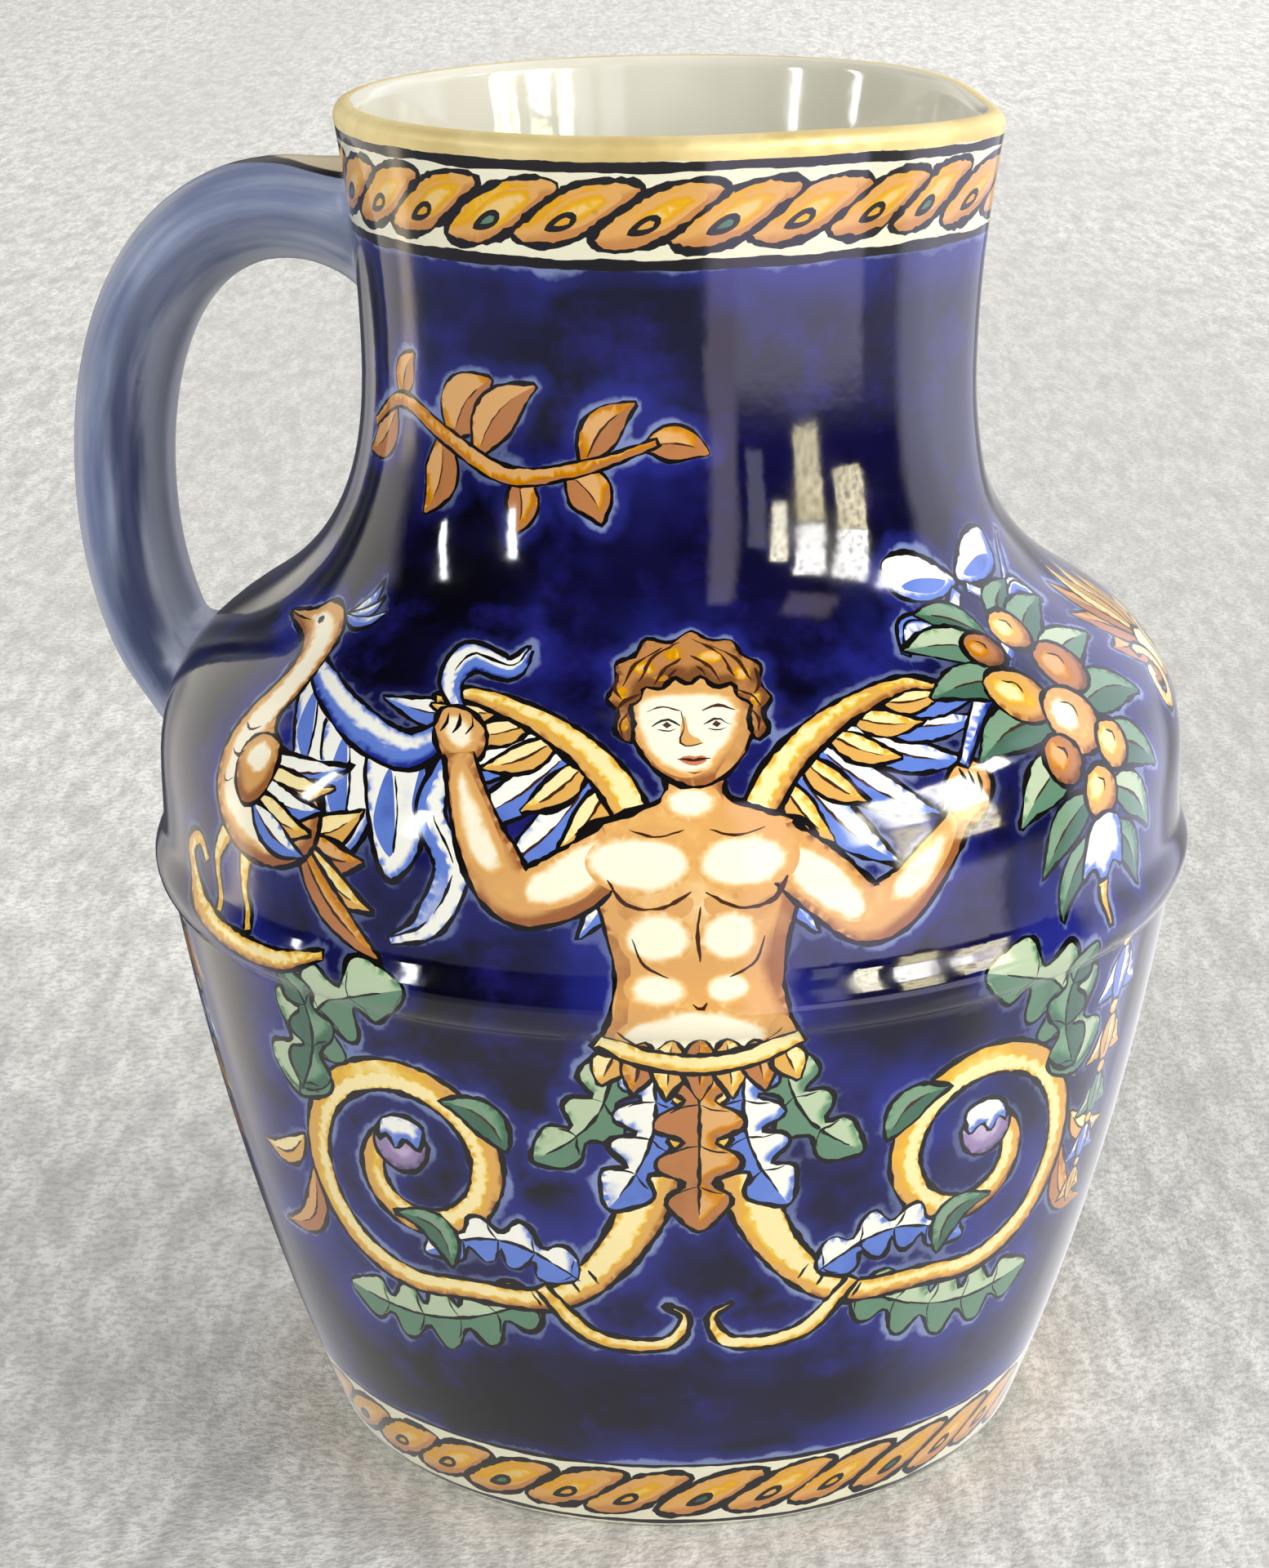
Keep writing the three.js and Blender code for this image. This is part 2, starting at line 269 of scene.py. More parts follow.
class Sheet:
    # a place on the wall: drawings are made in millimetres around it and laid onto the wall from here
    def __init__(self, angle, up, turn=0, size=1, mirror=1):
        self.angle, self.up, self.turn = math.radians(angle), up, math.radians(turn)
        self.size, self.mirror = size, mirror

    def lay(self, points):
        x, y = np.array(points, float).T
        x, y = x * self.size * self.mirror, y * self.size
        c, s = math.cos(self.turn * self.mirror), math.sin(self.turn * self.mirror)
        up = np.clip(self.up + x * s + y * c, 0.02, wallLength - 0.02)
        return np.stack([(self.angle + (x * c - y * s) / radiusAt(up)) * flatRadius, up], 1)

    def fill(self, outline, colours, depth=2.0, tone=0.0, light=fromLeftAbove):
        layMark(self.lay(outline), colours, depth * self.size, tone, light)

    def wash(self, points, colours, tone=0.55):
        self.fill(smooth(points, True), colours, 0, tone)

    def glow(self, points, colours, depth=1.1):
        # a light patch left in the paint, which melts into the colour round it
        self.fill(smooth(points, True), colours, depth, 0.0, None)

    def ink(self, line, width=0.55, taper=1.6, colours="ink"):
        line = np.array(line, float)
        if len(line) < 3:
            line = spaced(line, 0.3)
        run = np.concatenate([[0], np.cumsum(np.hypot(*np.diff(line, axis=0).T))])
        ends = np.minimum(run, run[-1] - run) / max(min(taper, run[-1] / 2), 1e-6)
        knots = np.arange(0, run[-1] + 3, inkBrush["swellStep"])
        press = 1 + np.interp(run, knots, chance.normal(0, inkBrush["swell"], len(knots)))
        press = np.clip(press + chance.normal(0, inkBrush["grain"], len(run)), 0.35, 2)
        line = line + chance.normal(0, inkBrush["shake"], line.shape) / self.size
        lifted = 0.3 + 0.7 * np.sqrt(np.clip(ends, 0, 1))      # the brush is lifted off at both ends
        half = width * inkBrush["weight"] / 2 * lifted * press / self.size
        self.fill(strip(line, half), colours, 0, 0.4)

    def stroke(self, points, width=0.55, taper=1.6, colours="ink"):
        self.ink(smooth(points), width, taper, colours)

    def border(self, outline, width):
        self.ink(np.concatenate([outline, outline[:3]]), width, 0.8)

    def shape(self, points, colours, depth=2.0, width=0.55, tone=0.0, shade=None):
        # a filled form with its brush outline round it, and washes of shade between the two
        outline = smooth(points, True)
        self.fill(outline, colours, depth, tone)
        for patch in shade or []:
            self.wash(patch, colours)
        self.border(outline, width)

    def band(self, points, halves, colours, depth=1.2, width=0.55, shade=0.0, openEnds=False, tone=0.0):
        # a form along a line, such as a scroll or a limb, as wide at each point as halves says
        line = smooth(points)
        half = np.interp(np.linspace(0, 1, len(line)), np.linspace(0, 1, len(halves)), halves)
        outline = strip(line, half)
        count = len(line)
        one, other = outline[:count], outline[count:][::-1]
        self.fill(outline, colours, depth, 0.3 if shade else tone)
        if shade:
            reach = 0.22 + 0.14 * np.sin(np.linspace(0, 2.2 * math.pi, count))[:, None]
            inner, outer = line + (other - line) * reach, line + (one - line) * 0.86
            self.fill(np.concatenate([inner, outer[::-1]])[::-1], colours, depth * 0.5, 0.0, None)
        if openEnds:
            self.ink(one, width, 0.5)
            self.ink(other, width, 0.5)
        else:
            self.border(outline, width)


def bowed(base, tip, bend, t):
    # points on a bowed line from base to tip, and the way square to it
    base, tip = np.array(base, float), np.array(tip, float)
    along = tip - base
    side = np.array([-along[1], along[0]])
    line = base + along * t[:, None] + side * (bend * np.sin(np.pi * t))[:, None]
    slope = along + side * (bend * np.pi * np.cos(np.pi * t))[:, None]
    slope /= np.hypot(*slope.T)[:, None]
    return line, np.stack([-slope[:, 1], slope[:, 0]], 1)


def leaf(sheet, base, tip, width, colours, bend=0.0, line=0.5, vein=True):
    # a plain pointed leaf or feather, lit on one side of its vein
    t = np.linspace(0, 1, 9)
    middle, side = bowed(base, tip, bend, t)
    half = width / 2 * np.sin(np.pi * t ** 0.85)[:, None]
    outline = smooth(np.concatenate([middle + side * half, (middle - side * half)[::-1][1:-1]]), True)
    dark = middle - side * half * (1 if tip[0] >= base[0] else -1)
    sheet.fill(outline, colours, 1.2)
    sheet.fill(np.concatenate([smooth(middle), smooth(dark)[::-1][1:-1]]), colours, 0, 0.5)
    sheet.border(outline, line)
    if vein:
        sheet.stroke(middle[1:-2], line * 0.6, 3.0, "umber")


def acanthus(sheet, base, tip, width, colours, lobes=4, bend=0.0):
    # a leaf cut into round lobes that lean towards its tip
    steps = np.arange(lobes)
    notchAt, lobeAt = (steps + 0.12) / lobes * 0.92, (steps + 0.82) / lobes * 0.92
    edges = []
    for way in (1, -1):
        notch, notchSide = bowed(base, tip, bend, notchAt)
        lobe, lobeSide = bowed(base, tip, bend, lobeAt)
        inner = notch + way * notchSide * (0.18 * width * fullness(notchAt))[:, None]
        outer = lobe + way * lobeSide * (width / 2 * fullness(lobeAt))[:, None]
        swell = (inner + outer) / 2 + way * lobeSide * 0.13 * width
        edges.append(np.stack([inner, swell, outer], 1).reshape(-1, 2))
    outline = smooth(np.concatenate([edges[0], [tip], edges[1][::-1]]), True)
    middle, _ = bowed(base, tip, bend, np.linspace(0, 0.9, 8))
    sheet.fill(outline, colours, 1.4)
    dark = edges[1] if tip[0] >= base[0] else edges[0]
    sheet.fill(np.concatenate([smooth(middle), [tip], smooth(dark)[::-1]]), colours, 0, 0.5)
    sheet.border(outline, 0.5)
    sheet.stroke(middle, 0.35, 4.0)
    for k in range(lobes):
        root, _ = bowed(base, tip, bend, np.array([notchAt[k] + 0.02]))
        for edge in edges:
            out = edge[3 * k + 1] * 0.72 + root[0] * 0.28
            bow = (root[0] + out) / 2 + (out - root[0])[::-1] * (0.08, -0.08)
            sheet.stroke([root[0], bow, out], 0.25, 1.6)


def fullness(t):
    return np.sin(np.pi * (0.16 + 0.74 * t)) ** 0.8


def spiral(centre, start, end, turns, startAngle, way=1):
    # points of a scroll that winds in from radius start to radius end
    t = np.linspace(0, 1, int(12 * turns) + 4)
    radius = end + (start - end) * (1 - t) ** 1.2
    angle = math.radians(startAngle) + way * turns * 2 * math.pi * t
    return np.array(centre) + np.stack([radius * np.cos(angle), radius * np.sin(angle)], 1)


def oval(x, y, wide, tall):
    turn = np.linspace(0, 2 * math.pi, 9)[:-1]
    return np.stack([x + wide * np.cos(turn), y + tall * np.sin(turn)], 1)


def disc(x, y, size):
    return oval(x, y, size, size)


# The bands at rim and foot: between which heights (millimetres) the white ground, ink lines and gilding
# run, and how many lozenges stand at which height, with their size and stretch
bands = {
    "white": ((100.75, 109.2), (-0.2, 7.0)),
    "ink": ((107.5, 108.35), (100.35, 101.15), (0.5, 0.95), (6.95, 7.25)),
    "gilding": ((108.3, 109.2),),
    "lozenges": ((26, 104.4, 0.89, 1.09), (35, 3.95, 0.88, 0.98)),
}


def bandBorders():
    # white bands at rim and foot, each between two ink lines, and the gilding above the upper one
    steps = 330
    run = np.arange(-steps // 2 - 12, steps // 2 + 13)
    x = (seamAngle - math.pi) * flatRadius + run * 2 * math.pi * flatRadius / steps

    def ring(low, high, colours, rough):
        edges = []
        for height in (low, high):
            wave = np.convolve(chance.normal(0, 1, steps + 6), np.ones(7) / 7, "valid") * rough * 2.4
            onBody = 0 < height < wall["lipStart"]      # not at the foot's and the lip's own edges
            edges.append(np.stack([x, upAt(height) + wave[run % steps] * onBody], 1))
        layMark(np.concatenate([edges[0], edges[1][::-1]]), colours, 0, 0.3)

    ways = {"white": ("band", 0.05), "ink": ("ink", 0.07), "gilding": ("gold", 0.05)}
    for part, (colours, rough) in ways.items():
        for low, high in bands[part]:
            ring(low, high, colours, rough)


def guilloche(count, height, size, across):
    # a chain of slanted lozenges, each with a drop-shaped eye
    lens = [(-5.2, -2.1), (-4.3, -2.8), (-2.6, -2.9), (-0.5, -2.35), (1.4, -1.2), (3.3, 0.4), (5.1, 1.9),
            (4.7, 2.75), (2.9, 2.95), (0.7, 2.6), (-1.3, 1.7), (-3.1, 0.4), (-4.6, -0.9)]
    drop = [(-2.5, -1.55), (-1.9, -0.65), (-0.9, 0.05), (-0.05, 0.1), (0.1, -0.5), (-0.4, -1.15),
            (-1.4, -1.6)]
    heart = [(-1.7, -1.1), (-0.9, -0.4), (-0.4, -0.4), (-0.6, -0.9)]
    for k in range(count):
        jitter = chance.normal(0, 1, 4)
        sheet = Sheet(math.degrees(seamAngle) - 360 * (k + 0.5) / count + jitter[0] * 0.25,
                      upAt(height) + jitter[1] * 0.06, turn=jitter[2] * 1.2, size=size)
        stretch = np.array([across, 1.0])
        sheet.shape(np.array(lens) * stretch, "lozenge", 2.4, 0.74, 0.3)
        sheet.glow((np.array(lens) * 0.6 + (0.5, 0.3)) * stretch, "lozenge", 1.2)
        sheet.wash(np.array(drop) * stretch, "ink", 0.2)
        sheet.wash(np.array(heart) * stretch, "lozenge" if k % 3 else "green", 0.3 if k % 3 else 0.7)


def bud(sheet, at, size):
    # a closed flower in a white cup
    petals = [(-1.9, 0.2), (-2.3, -1.2), (-1.4, -2.7), (0.3, -3.1), (1.9, -2.2), (2.4, -0.7), (1.6, 0.6)]
    cup = [(-2.0, 1.2), (-1.6, -0.9), (-0.4, -0.2), (0.4, -1.2), (1.2, -0.1), (2.0, -0.6), (1.7, 1.1),
           (0, 1.9)]
    sheet.shape(np.array(at) + size * np.array(petals), "lilac", 1.4, tone=0.2)
    sheet.shape(np.array(at) + size * np.array(cup), "white", 1.0)


def rinceau(sheet):
    # a stem that runs down and out, climbs the far side and winds in over the top to a bud
    wind = spiral((22.7, -31.5), 11.8, 2.9, 1.52, -112)
    line = np.concatenate([[(1.8, -21.0), (2.7, -27.0), (4.0, -32.5), (6.8, -38.0), (11.2, -42.0)], wind])
    halves = [1.6, 1.9, 1.9, 1.5, 1.05, 1.0, 1.1, 1.2, 1.3, 1.4, 1.4, 1.4, 1.35, 1.25, 1.15, 1.0]
    acanthus(sheet, (12, -42.0), (30.5, -45.8), 6.4, "green", 5, -0.12)
    leaf(sheet, (33.5, -35.0), (39.5, -43.0), 3.0, "rust", -0.25)
    leaf(sheet, (34.2, -32.0), (41.0, -35.0), 2.6, "ochre", -0.2)
    sheet.band(line, halves, "ochre", 1.0, shade=0.5)
    for k in range(4):      # short strokes of the brush across the stem
        sheet.ink([(7.6 + 1.5 * k, -40.2 - 0.9 * k), (8.4 + 1.5 * k, -38.9 - 0.9 * k)], 0.36, 0.6)
    acanthus(sheet, (9.0, -40.0), (22.0, -39.6), 4.6, "white", 4, 0.22)
    acanthus(sheet, (34.2, -28.5), (22.4, -14.8), 8.2, "green", 4, -0.2)
    acanthus(sheet, (33.8, -27.5), (34.8, -15.5), 5.0, "moss", 3, 0.2)
    leaf(sheet, (14.5, -28.5), (20.0, -24.8), 3.0, "moss", 0.2)
    leaf(sheet, (19.5, -40.6), (24.8, -36.4), 2.8, "moss", 0.3)
    tail = [(12.2, -41.0), (8.0, -45.5), (2.6, -46.0), (1.0, -43.4), (2.6, -42.0)]
    sheet.band(tail, [0.5, 0.75, 0.7, 0.6, 0.15], "ochre", 0.8)
    bud(sheet, wind[-1] + (0.2, -0.2), 1.05)


def wing(sheet):
    roots = smooth([(3.6, -2.6), (6.4, 2.6), (10.8, 6.4), (16.0, 8.2)])
    for count, size, reach, colours in ((8, 1.0, 11.0, "white"), (7, 0.8, 6.2, "ochre")):
        for k in range(count):
            root = roots[int((len(roots) - 1) * (k + 0.3) / count)]
            turn = math.radians(-78 + 76 * k / (count - 1))
            length = reach * (0.82 + 0.3 * math.sin(math.pi * k / count))
            leaf(sheet, root, root + length * np.array([math.cos(turn), math.sin(turn)]), 2.9 * size,
                 colours, -0.08, 0.45)
    sheet.band([(3.2, -3.4), (6.2, 2.6), (10.8, 6.8), (16.2, 8.8), (19.6, 8.0)],
               [1.2, 1.4, 1.3, 1.0, 0.4], "ochre", 1.0, shade=0.5)


def arm(sheet, points, halves, hand, fingers):
    # the hand first, then the arm over its wrist; both ends of the arm stay open
    middle = np.mean(hand, axis=0)
    sheet.shape(hand, "cream", 1.2, tone=0.3)
    sheet.glow(middle + (np.array(hand) - middle) * 0.72 + (-0.2, 0.2), "cream", 0.9)
    for line in fingers:
        sheet.stroke(line, 0.34, 1.0)
    sheet.band(points, halves, "cream", 1.8, openEnds=True, tone=0.36)
    line = smooth(points)
    half = np.interp(np.linspace(0, 1, len(line)), np.linspace(0, 1, len(halves)), halves)
    for low, high in ((0.03, 0.45), (0.50, 0.96)):
        part = slice(int(len(line) * low), int(len(line) * high))
        run = np.linspace(0, math.pi, len(line[part]))
        sheet.fill(strip(line[part] + (-0.25, 0.35), half[part] * 0.74 * np.sin(run) ** 0.35 + 0.05),
                   "cream", 1.0, 0.0, None)


def figure(sheet):
    rightHalf = [(1.9, 3.0), (2.3, 1.0), (5.2, -0.3), (8.0, -1.4), (8.9, -3.6), (7.6, -5.8), (6.7, -9.0),
                 (6.1, -12.2), (6.6, -15.4), (7.4, -18.4), (6.2, -21.0), (2.2, -22.0)]
    sheet.shape(rightHalf + [(-x, y) for x, y in rightHalf[::-1]], "cream", 2.4, tone=0.36)
    sheet.wash([(7.9, -3.0), (8.5, -4.2), (7.0, -6.6), (6.3, -9.8), (6.0, -13.2), (5.2, -13.0),
                (5.4, -9.4), (6.4, -6.2)], "cream", 0.8)
    sheet.wash([(-6.5, -9.0), (-5.9, -12.4), (-6.3, -15.4), (-7.1, -18.2), (-5.6, -19.4), (-5.2, -15.0),
                (-5.0, -11.0)], "cream", 0.66)
    sheet.wash([(6.4, -15.6), (7.2, -18.4), (5.8, -20.6), (4.6, -18.6), (5.2, -16.0)], "cream", 0.7)
    arm(sheet, [(-5.6, -2.6), (-9.6, -5.6), (-13.2, -6.6), (-15.4, -3.6), (-16.8, 0.4), (-17.5, 3.6)],
        [1.9, 2.4, 2.3, 2.3, 1.7, 1.2], [(-18.8, 3.0), (-19.6, 5.2), (-19.0, 7.2), (-17.2, 7.6),
        (-15.6, 6.4), (-15.3, 4.4), (-16.4, 2.8)], [[(-19.1 + k * 1.05, 5.2), (-18.5 + k * 1.05, 6.1),
        (-18.4 + k * 0.95, 7.0)] for k in range(3)])
    arm(sheet, [(20.2, -2.4), (18.4, -4.8), (15.4, -7.6), (12.6, -8.6), (9.4, -6.0), (5.6, -2.6)],
        [1.15, 1.7, 2.3, 2.3, 2.4, 1.9], [(19.0, -3.0), (18.8, -0.6), (20.0, 1.2), (22.2, 1.2),
        (23.4, -0.6), (22.6, -2.6), (21.0, -3.6)], [[(20.4 + k * 0.8, 0.9 - k * 0.3),
        (20.9 + k * 0.7, -0.1 - k * 0.3), (21.0 + k * 0.6, -0.9 - k * 0.2)] for k in range(3)])
    for way in (1, -1):      # no seam where an arm meets the chest, and shade under it
        sheet.wash(oval(way * 5.5, -3.5, 1.9, 2.0), "cream", 0.36)
        sheet.wash([(way * 5.7, -6.2), (way * 3.0, -7.2), (way * 0.6, -6.2), (way * 0.7, -7.5),
                    (way * 3.2, -8.3), (way * 5.5, -7.8)], "cream", 0.62)
    for x, y, wide, tall in ((-4.2, -3.8, 3.9, 2.3), (3.3, -3.8, 3.5, 2.2), (-3.1, -9.4, 2.7, 2.2),
            (2.3, -9.4, 2.3, 2.1), (-3.0, -13.2, 2.5, 1.6), (2.0, -13.2, 2.1, 1.5),
            (-0.6, -17.2, 5.6, 2.7), (-0.3, 0.6, 2.2, 1.5)):
        sheet.glow(oval(x, y, wide, tall), "cream", 1.1)
    for way in (1, -1):
        for line, width in (([(6.5, -5.0), (5.2, -6.8), (2.8, -7.1), (0.5, -5.9)], 0.46),
                ([(4.9, -1.4), (2.8, -1.9), (0.9, -1.4)], 0.34),
                ([(4.8, -9.4), (4.0, -11.4), (2.2, -12.4)], 0.3),
                ([(6.0, -16.6), (4.4, -18.6), (2.2, -19.4)], 0.4)):
            sheet.stroke(np.array(line) * (way, 1), width, 2.0, "umber")
    sheet.stroke([(0.1, -7.0), (-0.1, -9.0), (0.1, -11.2)], 0.3, 2.0, "umber")
    sheet.stroke([(-0.55, -14.3), (0.05, -14.75), (0.5, -14.25)], 0.36, 0.5, "umber")


def figureHead(sheet):
    # calm and frontal, on a drawing book's proportions: eyes half way up, nose and mouth on thirds below
    sheet.shape([(-4.3, 9.8), (-4.6, 7.4), (-4.1, 5.2), (-3.0, 3.3), (-1.5, 2.1), (0, 1.7), (1.5, 2.1),
                 (3.0, 3.3), (4.1, 5.2), (4.6, 7.4), (4.3, 9.8), (2.6, 12.4), (0, 13.2), (-2.6, 12.4)],
                 "cream", 1.8, tone=0.34)
    sheet.glow([(-4.0, 9.4), (-4.2, 7.2), (-3.7, 5.2), (-2.6, 3.4), (-1.0, 2.5), (0.6, 2.8), (2.2, 4.4),
                (3.3, 6.6), (3.5, 8.8), (2.4, 10.0), (0, 10.5), (-2.6, 10.2)], "cream", 1.0)
    sheet.wash([(4.0, 8.4), (4.3, 7.0), (3.8, 5.0), (2.8, 3.3), (1.4, 2.3), (2.2, 3.8), (3.1, 5.4),
                (3.5, 7.2)], "cream", 0.66)
    sheet.wash([(-0.5, 8.0), (-0.9, 6.0), (-0.6, 5.2), (0.6, 5.2), (0.4, 5.8), (-0.2, 6.2)], "cream", 0.4)
    for way in (1, -1):
        at = np.array((way, 1))
        sheet.wash(at * [(2.7, 6.95), (1.75, 7.4), (0.95, 6.95), (1.8, 6.68)], "band", 0.0)
        sheet.wash(at * [(1.45, 7.0), (1.8, 7.36), (2.15, 7.0), (1.8, 6.72)], "umber", 0.6)
        sheet.stroke(at * [(2.9, 6.9), (1.8, 7.56), (0.85, 6.98)], 0.36, 1.0)
        sheet.stroke(at * [(2.5, 6.66), (1.8, 6.46), (1.15, 6.66)], 0.2, 1.0, "umber")
        sheet.stroke(at * [(3.2, 8.3), (2.0, 8.8), (0.8, 8.35)], 0.34, 1.4, "umber")
    sheet.stroke([(-0.75, 8.4), (-0.55, 6.9), (-0.95, 5.5), (-0.4, 5.1), (0.1, 5.2), (0.7, 5.35)], 0.3,
                 1.2, "umber")
    sheet.wash([(-1.1, 3.95), (-0.45, 4.3), (0, 4.15), (0.45, 4.3), (1.1, 3.95), (0, 3.4)], "lips", 0.6)
    sheet.stroke([(-1.25, 4.0), (-0.4, 3.95), (0, 3.85), (0.4, 3.95), (1.25, 4.0)], 0.28, 0.8, "umber")
    sheet.stroke([(-0.5, 2.95), (0, 2.8), (0.5, 2.95)], 0.24, 0.6, "umber")
    # short wavy hair, parted in the middle
    sheet.shape([(-4.5, 5.4), (-5.6, 6.4), (-5.3, 8.2), (-6.1, 9.4), (-5.3, 11.0), (-5.3, 12.6),
                 (-3.9, 13.3), (-3.0, 14.7), (-1.2, 14.4), (0.3, 15.3), (1.7, 14.5), (3.3, 14.4),
                 (4.1, 13.1), (5.4, 12.2), (5.2, 10.7), (6.0, 9.2), (5.3, 8.0), (5.6, 6.3), (4.6, 5.4),
                 (4.2, 7.4), (4.4, 8.8), (3.5, 9.5), (3.2, 10.7), (1.9, 10.5), (0.9, 11.5), (0.0, 10.8),
                 (-1.1, 11.4), (-2.1, 10.4), (-3.3, 10.6), (-3.6, 9.4), (-4.4, 8.7), (-4.2, 7.4)], "hair",
                 1.6, 0.5, 0.4)
    for x, y, wide, tall in ((-3.3, 12.3, 1.0, 0.6), (-4.9, 9.9, 0.4, 0.8), (-4.9, 7.2, 0.35, 0.8),
            (-1.0, 13.4, 0.9, 0.5), (1.6, 13.1, 1.0, 0.55), (3.9, 11.6, 0.7, 0.6), (4.8, 9.2, 0.4, 0.7),
            (-2.0, 11.4, 0.6, 0.3)):
        sheet.glow(oval(x, y, wide, tall), "hair", 0.5)
    for way, shift in ((1, 0.0), (-1, 0.25)):
        for line in ([(0.3, 14.7), (2.3, 13.4), (3.4, 11.3)], [(1.6, 14.2), (3.6, 12.8), (4.6, 10.9)],
                     [(0.2, 13.3), (1.5, 12.4), (2.3, 11.0)], [(3.3, 10.2), (4.5, 9.6), (5.2, 8.5)],
                     [(4.3, 8.4), (4.9, 7.4), (4.8, 6.1)], [(4.9, 12.0), (5.2, 10.6), (4.7, 9.7)],
                     [(0.6, 12.4), (1.1, 11.9), (1.2, 11.5)]):
            sheet.stroke((np.array(line) + (shift, -shift)) * (way, 1), 0.34, 1.6, "umber")


def leafSkirt(sheet):
    for way in (-1, 1):
        acanthus(sheet, (way * 6.2, -18.6), (way * 12.6, -29.0), 5.2, "green", 3, -0.16 * way)
        acanthus(sheet, (way * 3.6, -19.0), (way * 6.8, -33.0), 6.0, "white", 4, -0.12 * way)
    acanthus(sheet, (0, -19.0), (0, -35.0), 6.6, "rust", 4)
    for k in range(7):
        x = -6.6 + 2.2 * k
        leaf(sheet, (x * 0.9, -17.6 - 0.02 * x * x), (x * 1.12, -23.2 + 0.03 * x * x), 2.7,
             "rust" if k % 2 else "ochre")
    sheet.band([(-7.6, -17.8), (-4, -19.4), (0, -20.0), (4, -19.4), (7.6, -17.8)],
               [0.75, 0.8, 0.8, 0.8, 0.75], "ochre", 0.8)


def ribbon(sheet, points, halves):
    sheet.band(points, halves, "white", 0.8, 0.46, shade=0.75)
    line = smooth(points)
    for share in (0.3, 0.55, 0.8):
        at = int(len(line) * share)
        sheet.ink(line[at:at + 9] + (0.15, 0.3), 0.3, 2.0)


def scarf(sheet):
    # blue and white cloth that hangs from the raised hand in scalloped folds
    for x, y, wide, drop in ((-31.2, 6.4, 4.4, 7.4), (-27.2, 3.4, 5.0, 9.0), (-22.8, 1.6, 4.8, 8.2)):
        sheet.shape([(x - wide / 2, y + 1.2), (x - wide / 2 + 0.2, y - drop * 0.6),
                     (x - wide * 0.2, y - drop), (x + wide * 0.15, y - drop * 0.92),
                     (x + wide / 2, y - drop * 0.55), (x + wide / 2, y + 1.4)], "white", 1.0,
                     shade=[[(x - wide * 0.1, y), (x, y - drop * 0.5), (x - wide * 0.1, y - drop * 0.8),
                     (x - wide * 0.4, y - drop * 0.5)], [(x + wide * 0.5, y + 1),
                     (x + wide * 0.45, y - drop * 0.4), (x + wide * 0.3, y - drop * 0.3)]])
        sheet.stroke([(x, y - 0.6), (x + 0.2, y - drop * 0.4), (x - 0.2, y - drop * 0.75)], 0.34, 2.4)
    sheet.band([(-34.4, 10.4), (-30.6, 7.0), (-26.0, 4.2), (-21.6, 3.2), (-18.2, 5.6)],
               [0.5, 1.5, 1.8, 1.6, 0.8], "white", shade=0.8)
    ribbon(sheet, [(-17.4, 7.0), (-18.4, 9.8), (-16.6, 12.2), (-13.4, 11.6), (-11.8, 13.4)],
           [0.5, 1.0, 1.3, 1.1, 0.3])
    ribbon(sheet, [(-18.2, 3.4), (-19.8, -1.2), (-18.2, -5.2), (-20.4, -9.6), (-23.6, -11.4)],
           [0.6, 1.2, 1.4, 1.3, 0.3])


